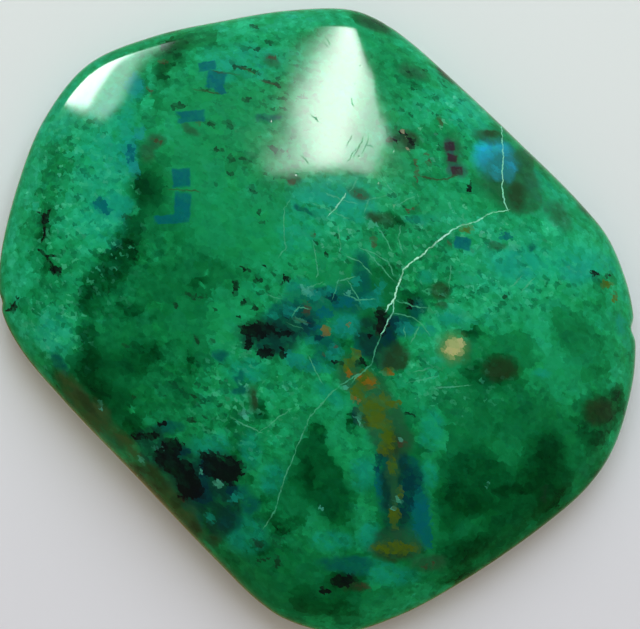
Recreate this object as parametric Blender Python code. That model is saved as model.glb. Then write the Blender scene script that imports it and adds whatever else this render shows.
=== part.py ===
"""Polished freeform chrysocolla cabochon: one stone with a flat back, a low girdle wall and a domed face.

The stone lies on its flat back. The origin is at the middle of its footprint's box, on the surface it
rests on; +Z is up out of the domed face, and +X runs along its longer way. Metres.
"""

import math

import bmesh
import bpy
from mathutils import Vector

MM = 0.001

# Driving sizes
THICKNESS = 8.0 * MM
GIRDLE_TOP = 2.2 * MM  # where the upright wall ends and the dome begins
BACK_EDGE_ROUND = 1.0 * MM  # radius of the rounding between the flat back and the wall
BACK_RIM = 0.8 * MM  # an even margin of the flat back, just inside that rounding
DOME_FULLNESS = 2.3  # 2 would make the dome an ellipsoid, and more flattens its middle
CIRCLE_EASING = 1.5  # more would turn the dome's rings from the outline into circles sooner

# Fineness of the mesh
OUTLINE_POINTS = 168
BACK_EDGE_STEPS = 4
DOME_SHARES = (0.996, 0.985, 0.965, 0.935, 0.89, 0.83, 0.75, 0.65, 0.53, 0.40, 0.26, 0.12)

# The girdle's outline seen from above, counter-clockwise, as knots of one smooth closed curve
OUTLINE_KNOTS = [
    Vector((x * MM, y * MM))
    for x, y in (
        # right corner
        (22.6, -2.2),
        (22.5, 0.3),
        (22.0, 2.8),
        (20.7, 6.0),
        # long upper right side
        (18.6, 8.6),
        (14.3, 12.9),
        (9.9, 17.1),
        # top corner
        (6.8, 19.9),
        (4.7, 21.4),
        (2.4, 22.3),
        # bowed top side and upper left shoulder
        (-2.3, 22.2),
        (-6.9, 21.4),
        (-11.6, 20.3),
        (-16.3, 18.2),
        (-19.4, 14.2),
        (-21.2, 9.5),
        # left corner
        (-22.3, 4.7),
        (-22.4, 2.2),
        (-22.1, 0.3),
        (-20.7, -2.3),
        # long lower left side
        (-17.7, -5.8),
        (-12.4, -11.3),
        (-7.3, -16.6),
        # bottom corner
        (-4.1, -19.7),
        (-2.1, -21.0),
        (1.6, -21.9),
        (5.8, -20.7),
        # lower right side and corner
        (10.6, -18.1),
        (16.0, -14.4),
        (19.2, -11.6),
        (21.0, -8.9),
        (22.3, -4.7),
    )
]

# Chips in the girdle: where each one is, how deep it bites and half how long it is
CHIPS = (
    (Vector((22.6, -0.8)) * MM, 0.28 * MM, 0.55 * MM),  # bruise on the right corner
    (Vector((5.2, 21.2)) * MM, 0.12 * MM, 0.35 * MM),  # nick beside the top corner
    (Vector((-22.3, 1.0)) * MM, 0.16 * MM, 0.40 * MM),  # nick under the left corner
)


def smooth_closed_curve(knots, steps=24):
    """Points along the centripetal Catmull-Rom curve through the knots."""
    points = []
    count = len(knots)
    for i in range(count):
        p0, p1, p2, p3 = (knots[(i + k) % count] for k in (-1, 0, 1, 2))
        t1 = (p1 - p0).length ** 0.5
        t2 = t1 + (p2 - p1).length ** 0.5
        t3 = t2 + (p3 - p2).length ** 0.5
        for step in range(steps):
            t = t1 + (t2 - t1) * step / steps
            a1 = p0.lerp(p1, t / t1)
            a2 = p1.lerp(p2, (t - t1) / (t2 - t1))
            a3 = p2.lerp(p3, (t - t2) / (t3 - t2))
            b1 = a1.lerp(a2, t / t2)
            b2 = a2.lerp(a3, (t - t1) / (t3 - t1))
            points.append(b1.lerp(b2, (t - t1) / (t2 - t1)))
    return points


def evenly_spaced(points, count):
    """The closed line through points, walked in equal steps."""
    lengths = [(b - a).length for a, b in zip(points, points[1:] + points[:1])]
    step = sum(lengths) / count
    found = []
    i = 0
    start = 0.0
    for k in range(count):
        while start + lengths[i] < k * step:
            start += lengths[i]
            i += 1
        share = (k * step - start) / lengths[i]
        found.append(points[i].lerp(points[(i + 1) % len(points)], share))
    return found


def chipped(point):
    """A point of the outline, pushed in where a chip bites."""
    for place, depth, half_length in CHIPS:
        bite = depth * math.exp(-(((point - place).length / half_length) ** 2))
        point = point - point.normalized() * bite
    return point


def centred(points):
    """The points, moved so that the middle of their box is the origin."""
    middle_x = (min(p.x for p in points) + max(p.x for p in points)) / 2
    middle_y = (min(p.y for p in points) + max(p.y for p in points)) / 2
    return [p - Vector((middle_x, middle_y)) for p in points]


def girdle_outline():
    even = evenly_spaced(smooth_closed_curve(OUTLINE_KNOTS), OUTLINE_POINTS)
    return centred([chipped(point) for point in even])


def dome_point(point, share, radius):
    """The outline's point, drawn in to a share of its distance. Rings ease from the outline to a circle."""
    circle = point.normalized() * radius
    ring_point = circle.lerp(point, share**CIRCLE_EASING) * share
    rise = (THICKNESS - GIRDLE_TOP) * math.sqrt(1 - share**DOME_FULLNESS)
    return ring_point.to_3d() + Vector((0, 0, GIRDLE_TOP + rise))


def stone_rings():
    """Every ring of points, from the flat back's margin out to the girdle and in again to the crown."""
    outline = girdle_outline()
    radius = sum(point.length for point in outline) / len(outline)

    def drawn_in(inset, height):
        return [(point * (1 - inset / radius)).to_3d() + Vector((0, 0, height)) for point in outline]

    rings = [drawn_in(BACK_EDGE_ROUND + BACK_RIM, 0)]
    for step in range(BACK_EDGE_STEPS + 1):
        turn = math.radians(90) * step / BACK_EDGE_STEPS
        rings.append(drawn_in(BACK_EDGE_ROUND * (1 - math.sin(turn)), BACK_EDGE_ROUND * (1 - math.cos(turn))))
    rings.append(drawn_in(0, GIRDLE_TOP))
    for share in DOME_SHARES:
        rings.append([dome_point(point, share, radius) for point in outline])
    return rings


def grow_ring(body, edge, places):
    """Extrudes the open edge, a ring of vertices in order, to new places, and returns the new ring."""
    edges = [body.edges.get((a, b)) for a, b in zip(edge, edge[1:] + edge[:1])]
    grown = bmesh.ops.extrude_edge_only(body, edges=edges)["geom"]
    fresh = {element for element in grown if isinstance(element, bmesh.types.BMVert)}
    ring = []
    for vertex, place in zip(edge, places):
        neighbours = (link.other_vert(vertex) for link in vertex.link_edges)
        follower = next(neighbour for neighbour in neighbours if neighbour in fresh)
        follower.co = place
        ring.append(follower)
    return ring


def stone_mesh():
    rings = stone_rings()
    body = bmesh.new()
    edge = [body.verts.new(place) for place in rings[0]]
    body.faces.new(edge)
    for places in rings[1:]:
        edge = grow_ring(body, edge, places)
    crown = body.faces.new(edge)
    top = bmesh.ops.poke(body, faces=[crown])["verts"][0]
    top.co = Vector((0, 0, THICKNESS))
    bmesh.ops.recalc_face_normals(body, faces=body.faces)
    mesh = bpy.data.meshes.new("polished_stone")
    body.to_mesh(mesh)
    body.free()
    mesh.shade_smooth()
    return mesh


def stone_material():
    material = bpy.data.materials.new("polished chrysocolla")
    material.use_nodes = True
    shader = material.node_tree.nodes["Principled BSDF"]
    shader.inputs["Base Color"].default_value = (0.012, 0.24, 0.105, 1)
    shader.inputs["Roughness"].default_value = 0.12
    shader.inputs["Metallic"].default_value = 0.0
    return material


def main():
    for old in list(bpy.data.objects):
        bpy.data.objects.remove(old, do_unlink=True)
    stone = bpy.data.objects.new("polished_stone", stone_mesh())
    stone.data.materials.append(stone_material())
    bpy.context.scene.collection.objects.link(stone)


main()
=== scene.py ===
"""A polished chrysocolla cabochon lying on a pale table, under two soft windows.

Lengths are metres in the scene. Places on the stone are millimetres across (x), up (y) and through (z),
from the middle of its flat back. Colours are red, green and blue from 0 to 255.
"""

import math
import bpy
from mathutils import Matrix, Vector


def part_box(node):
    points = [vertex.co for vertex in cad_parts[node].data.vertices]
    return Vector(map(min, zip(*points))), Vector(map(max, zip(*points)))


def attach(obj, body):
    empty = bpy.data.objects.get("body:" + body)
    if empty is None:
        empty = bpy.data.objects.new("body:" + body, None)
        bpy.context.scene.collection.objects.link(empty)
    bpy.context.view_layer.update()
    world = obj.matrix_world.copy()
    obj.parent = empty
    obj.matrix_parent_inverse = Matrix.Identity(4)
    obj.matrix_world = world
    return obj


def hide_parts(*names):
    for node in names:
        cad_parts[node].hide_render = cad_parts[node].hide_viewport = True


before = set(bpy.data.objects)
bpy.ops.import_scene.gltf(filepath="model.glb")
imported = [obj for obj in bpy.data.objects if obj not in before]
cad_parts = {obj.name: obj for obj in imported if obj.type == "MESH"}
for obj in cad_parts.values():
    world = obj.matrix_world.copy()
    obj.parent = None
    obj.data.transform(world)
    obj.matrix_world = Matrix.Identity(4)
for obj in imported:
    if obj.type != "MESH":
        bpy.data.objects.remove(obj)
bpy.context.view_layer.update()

from types import SimpleNamespace

import bpy
from mathutils import Matrix, Vector

MM = 0.001

# The stone: the same driving sizes as its solid, in mm
THICKNESS = 8.0
GIRDLE_TOP = 2.2
BACK_EDGE_ROUND = 1.0
DOME_FULLNESS = 2.3
CIRCLE_EASING = 1.5
# How deep the polisher's waves are, how long, and the heights between which they set in, in mm
WAVINESS = 0.035
WAVE_LENGTH = 6.5
WAVES_START = 0.5
WAVES_FULL = 3.0
# The hair that the stone stays inside its solid's box, in mm
BOX_MARGIN = 0.004

# Fineness of the mesh
POINTS_AROUND = 560
BACK_ROWS = 14
EDGE_ROWS = 8
GIRDLE_ROWS = 8
DOME_ROWS = 118
MERGE_REACH = 0.0004
HALVINGS = 20

# Knots of the girdle outline, anticlockwise from the right corner
OUTLINE_KNOTS = (
    (22.6, -2.2), (22.5, 0.3), (22.0, 2.8), (20.7, 6.0), (18.6, 8.6), (14.3, 12.9), (9.9, 17.1),
    (6.8, 19.9), (4.7, 21.4), (2.4, 22.3), (-2.3, 22.2), (-6.9, 21.4), (-11.6, 20.3), (-16.3, 18.2),
    (-19.4, 14.2), (-21.2, 9.5), (-22.3, 4.7), (-22.4, 2.2), (-22.1, 0.3), (-20.7, -2.3),
    (-17.7, -5.8), (-12.4, -11.3), (-7.3, -16.6), (-4.1, -19.7), (-2.1, -21.0), (1.6, -21.9),
    (5.8, -20.7), (10.6, -18.1), (16.0, -14.4), (19.2, -11.6), (21.0, -8.9), (22.3, -4.7),
)

# Chips in the girdle: where each one is, how deep it bites and half how long it is
CHIPS = (
    ((22.6, -0.8), 0.28, 0.55),
    ((5.2, 21.2), 0.12, 0.35),
    ((-22.3, 1.0), 0.16, 0.40),
)
# How far along the girdle a chip is worked out, in half lengths, and its height and spread up the wall, in mm
CHIP_REACH = 2.6
CHIP_HEIGHT = 1.8
CHIP_SPREAD = 2.2


def linear(colour):
    """A colour of 0 to 255 as the light values that shaders work in."""
    parts = [part / 255 for part in colour]
    return tuple(p / 12.92 if p <= 0.04045 else ((p + 0.055) / 1.055) ** 2.4 for p in parts) + (1.0,)


# ---- The stone's shape ----


def smooth_closed_curve(knots, steps=24):
    """Points along the centripetal Catmull-Rom curve through the knots."""
    points = []
    count = len(knots)
    for i in range(count):
        p0, p1, p2, p3 = (knots[(i + k) % count] for k in (-1, 0, 1, 2))
        t1 = (p1 - p0).length ** 0.5
        t2 = t1 + (p2 - p1).length ** 0.5
        t3 = t2 + (p3 - p2).length ** 0.5
        for step in range(steps):
            t = t1 + (t2 - t1) * step / steps
            a1 = p0.lerp(p1, t / t1)
            a2 = p1.lerp(p2, (t - t1) / (t2 - t1))
            a3 = p2.lerp(p3, (t - t2) / (t3 - t2))
            b1 = a1.lerp(a2, t / t2)
            b2 = a2.lerp(a3, (t - t1) / (t3 - t1))
            points.append(b1.lerp(b2, (t - t1) / (t2 - t1)))
    return points


def girdle_outline():
    """The outline before its chips, moved so that the middle of its box is the origin."""
    points = smooth_closed_curve([Vector(knot) for knot in OUTLINE_KNOTS])
    middle_x = (min(p.x for p in points) + max(p.x for p in points)) / 2
    middle_y = (min(p.y for p in points) + max(p.y for p in points)) / 2
    return [p - Vector((middle_x, middle_y)) for p in points]


OUTLINE = girdle_outline()
OUTLINE_DIRECTIONS = [point.normalized() for point in OUTLINE]
MEAN_RADIUS = sum(point.length for point in OUTLINE) / len(OUTLINE)


def dome_height(x, y):
    """Height of the dome's surface over a place on the stone."""
    place = Vector((x, y))
    if place.length == 0:
        return THICKNESS
    nearest = max(range(len(OUTLINE)), key=lambda i: OUTLINE_DIRECTIONS[i].dot(place))
    rim_distance = OUTLINE[nearest].length
    low, high = 0.0, 1.0
    for _ in range(HALVINGS):
        share = (low + high) / 2
        reach = (MEAN_RADIUS + (rim_distance - MEAN_RADIUS) * share**CIRCLE_EASING) * share
        low, high = (share, high) if reach < place.length else (low, share)
    return GIRDLE_TOP + (THICKNESS - GIRDLE_TOP) * math.sqrt(1 - share**DOME_FULLNESS)


def line_object(name, points, closed):
    """A curve object of straight steps through points, for a node tree to walk along."""
    curve = bpy.data.curves.new(name, "CURVE")
    curve.dimensions = "3D"
    spline = curve.splines.new("POLY")
    spline.points.add(len(points) - 1)
    for target, point in zip(spline.points, points):
        target.co = (*point, 1.0)
    spline.use_cyclic_u = closed
    line = bpy.data.objects.new(name, curve)
    bpy.context.scene.collection.objects.link(line)
    return line


def wall_profile():
    """The stone's section from the middle of its back to its crown: share of the outline, easing, height."""
    inner = 1 - BACK_EDGE_ROUND / MEAN_RADIUS
    profile = [(inner * row / BACK_ROWS, 1.0, 0.0) for row in range(BACK_ROWS)]
    for row in range(EDGE_ROWS + 1):
        turn = math.radians(90) * row / EDGE_ROWS
        share = 1 - BACK_EDGE_ROUND * (1 - math.sin(turn)) / MEAN_RADIUS
        profile.append((share, 1.0, BACK_EDGE_ROUND * (1 - math.cos(turn))))
    for row in range(1, GIRDLE_ROWS):
        profile.append((1.0, 1.0, BACK_EDGE_ROUND + (GIRDLE_TOP - BACK_EDGE_ROUND) * row / GIRDLE_ROWS))
    for row in range(DOME_ROWS + 1):
        turn = math.radians(90) * (1 - row / DOME_ROWS)
        share = math.sin(turn) ** (2 / DOME_FULLNESS)
        height = GIRDLE_TOP + (THICKNESS - GIRDLE_TOP) * math.cos(turn)
        profile.append((share, share**CIRCLE_EASING, height))
    return profile


class Tree:
    """Adds nodes to a geometry, shader or light tree in the order that they are worked out."""

    def __init__(self, tree):
        self.tree = tree

    def fill(self, socket, value):
        """Gives an input a value, or joins it to another node's output. None leaves it as it is."""
        if isinstance(value, bpy.types.NodeSocket):
            self.tree.links.new(value, socket)
        elif value is not None:
            socket.default_value = value

    def node(self, kind, *values, inputs=None, **settings):
        """A node with its settings, its inputs filled in order, and any others by their name or number."""
        node = self.tree.nodes.new(kind)
        for setting, value in settings.items():
            setattr(node, setting, value)
        in_use = [socket for socket in node.inputs if socket.enabled]
        for socket, value in zip(in_use, values):
            self.fill(socket, value)
        for name, value in (inputs or {}).items():
            self.fill(node.inputs[name], value)
        return node

    def math(self, operation, *values, clamp=False):
        return self.node("ShaderNodeMath", *values, operation=operation, use_clamp=clamp).outputs[0]

    def vector(self, operation, *values):
        node = self.node("ShaderNodeVectorMath", *values, operation=operation)
        return node.outputs["Value" if operation in ("LENGTH", "DOT_PRODUCT") else "Vector"]

    def scaled(self, vector, scale):
        """A vector times a number."""
        node = self.node("ShaderNodeVectorMath", vector, inputs={"Scale": scale}, operation="SCALE")
        return node.outputs["Vector"]

    def joined(self, x, y, z):
        return self.node("ShaderNodeCombineXYZ", x, y, z).outputs[0]

    def parts(self, vector):
        return self.node("ShaderNodeSeparateXYZ", vector).outputs


def stone_tree(material):
    """The tree that bends a grid round the outline and over the profile, and closes it."""
    group = bpy.data.node_groups.new("cabochon from outline and profile", "GeometryNodeTree")
    sizes = (
        ("Girdle outline", "NodeSocketObject"),
        ("Wall profile", "NodeSocketObject"),
        ("Points around", "NodeSocketInt"),
        ("Rows", "NodeSocketInt"),
        ("Mean radius", "NodeSocketFloat"),
        ("Waviness", "NodeSocketFloat"),
        ("Wave length", "NodeSocketFloat"),
    )
    for name, kind in sizes:
        group.interface.new_socket(name, in_out="INPUT", socket_type=kind)
    group.interface.new_socket("Stone", in_out="OUTPUT", socket_type="NodeSocketGeometry")
    tree = Tree(group)
    given = tree.node("NodeGroupInput").outputs
    closed = bent_grid(tree, given)
    waved = tree.node("GeometryNodeSetPosition", closed, inputs={"Offset": polishing_waves(tree, given)})
    sized = tree.node("GeometryNodeTransform", waved.outputs[0], inputs={"Scale": (MM, MM, MM)})
    whole = tree.node("GeometryNodeRealizeInstances", sized.outputs[0])
    finished = tree.node("GeometryNodeSetMaterial", whole.outputs[0], inputs={"Material": material})
    tree.node("NodeGroupOutput", finished.outputs[0])
    return group


def bent_grid(tree, given):
    """A flat grid bent into the stone: its x runs round the girdle, and its y up the profile."""
    outline = tree.node("GeometryNodeObjectInfo", given["Girdle outline"]).outputs["Geometry"]
    profile = tree.node("GeometryNodeObjectInfo", given["Wall profile"]).outputs["Geometry"]
    position = tree.node("GeometryNodeInputPosition").outputs[0]
    grid = tree.node("GeometryNodeMeshGrid", 1.0, 1.0, given["Points around"], given["Rows"])
    flat = tree.parts(position)
    round_share = tree.math("ADD", flat["X"], 0.5, clamp=True)
    row_share = tree.math("ADD", flat["Y"], 0.5, clamp=True)
    last_row = tree.math("SUBTRACT", given["Rows"], 1.0)
    row = tree.math("ROUND", tree.math("MULTIPLY", row_share, last_row))
    rim = tree.node("GeometryNodeSampleCurve", outline, inputs={"Factor": round_share}, mode="FACTOR")
    wall = tree.node(
        "GeometryNodeSampleIndex", profile, inputs={"Value": position, "Index": row}, data_type="FLOAT_VECTOR"
    )
    share, easing, height = tree.parts(wall.outputs["Value"])
    circle = tree.scaled(tree.vector("NORMALIZE", rim.outputs["Position"]), given["Mean radius"])
    between = {0: easing, 4: circle, 5: rim.outputs["Position"]}
    eased = tree.node("ShaderNodeMix", inputs=between, data_type="VECTOR")
    drawn_in = tree.scaled(eased.outputs[1], share)
    place = tree.vector("ADD", drawn_in, tree.joined(0.0, 0.0, height))
    bent = tree.node("GeometryNodeSetPosition", grid.outputs["Mesh"], inputs={"Position": place})
    closed = tree.node("GeometryNodeMergeByDistance", bent.outputs[0], inputs={"Distance": MERGE_REACH})
    return closed.outputs[0]


def polishing_waves(tree, given):
    """How far in the polish dips at each place. The flat back has no waves."""
    pace = tree.math("DIVIDE", 1.0, given["Wave length"])
    wave = tree.node("ShaderNodeTexNoise", inputs={"Scale": pace, "Detail": 1.0}, noise_dimensions="3D")
    dip = tree.math("MULTIPLY", wave.outputs[0], tree.math("MULTIPLY", given["Waviness"], -1.0))
    height = tree.parts(tree.node("GeometryNodeInputPosition").outputs[0])["Z"]
    above_back = tree.node("ShaderNodeMapRange", height, WAVES_START, WAVES_FULL)
    dip = tree.math("MULTIPLY", dip, above_back.outputs[0])
    return tree.scaled(tree.node("GeometryNodeInputNormal").outputs[0], dip)


def polished_stone(material):
    """The stone as a plain closed mesh, just inside its solid's box."""
    profile = wall_profile()
    outline_line = line_object("girdle outline", [(p.x, p.y, 0.0) for p in OUTLINE], True)
    profile_line = line_object("wall profile", profile, False)
    carrier = bpy.data.objects.new("stone carrier", bpy.data.meshes.new("stone carrier"))
    bpy.context.scene.collection.objects.link(carrier)
    group = stone_tree(material)
    modifier = carrier.modifiers.new("cabochon", "NODES")
    modifier.node_group = group
    chosen = {
        "Girdle outline": outline_line,
        "Wall profile": profile_line,
        "Points around": POINTS_AROUND + 1,
        "Rows": len(profile),
        "Mean radius": MEAN_RADIUS,
        "Waviness": WAVINESS,
        "Wave length": WAVE_LENGTH,
    }
    for item in group.interface.items_tree:
        if item.name in chosen:
            modifier[item.identifier] = chosen[item.name]
    view = bpy.context.evaluated_depsgraph_get()
    mesh = bpy.data.meshes.new_from_object(carrier.evaluated_get(view))
    mesh.name = "chrysocolla_stone"
    for helper in (carrier, outline_line, profile_line):
        bpy.data.objects.remove(helper)
    stone = bpy.data.objects.new("chrysocolla_stone", mesh)
    bpy.context.scene.collection.objects.link(stone)
    chip_girdle(mesh)
    fit_inside_box(mesh)
    mesh.shade_smooth()
    return stone


def chip_girdle(mesh):
    """Pushes the girdle in at each chip. A bite dies out up the dome and at the back."""
    for place, depth, half_length in CHIPS:
        for vertex in mesh.vertices:
            across = vertex.co.xy / MM
            far = (across - Vector(place)).length / half_length
            if far > CHIP_REACH:
                continue
            climb = abs(vertex.co.z / MM - CHIP_HEIGHT) / CHIP_SPREAD
            bite = depth * math.exp(-(far**2)) * max(0.0, 1 - climb**4)
            vertex.co.xy = (across - across.normalized() * bite) * MM


def fit_inside_box(mesh):
    """Shrinks the mesh by the hair that keeps it inside the solid's box."""
    low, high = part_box("polished_stone")
    for axis in range(3):
        places = [vertex.co[axis] for vertex in mesh.vertices]
        margin = BOX_MARGIN * MM
        size = high[axis] - low[axis] - 2 * margin
        scale = size / (max(places) - min(places))
        start = min(places)
        for vertex in mesh.vertices:
            vertex.co[axis] = low[axis] + margin + (vertex.co[axis] - start) * scale


# ---- What shows in the stone ----
# A mark is (x, y, half its length across, half its length up[, turn in degrees]).

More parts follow.
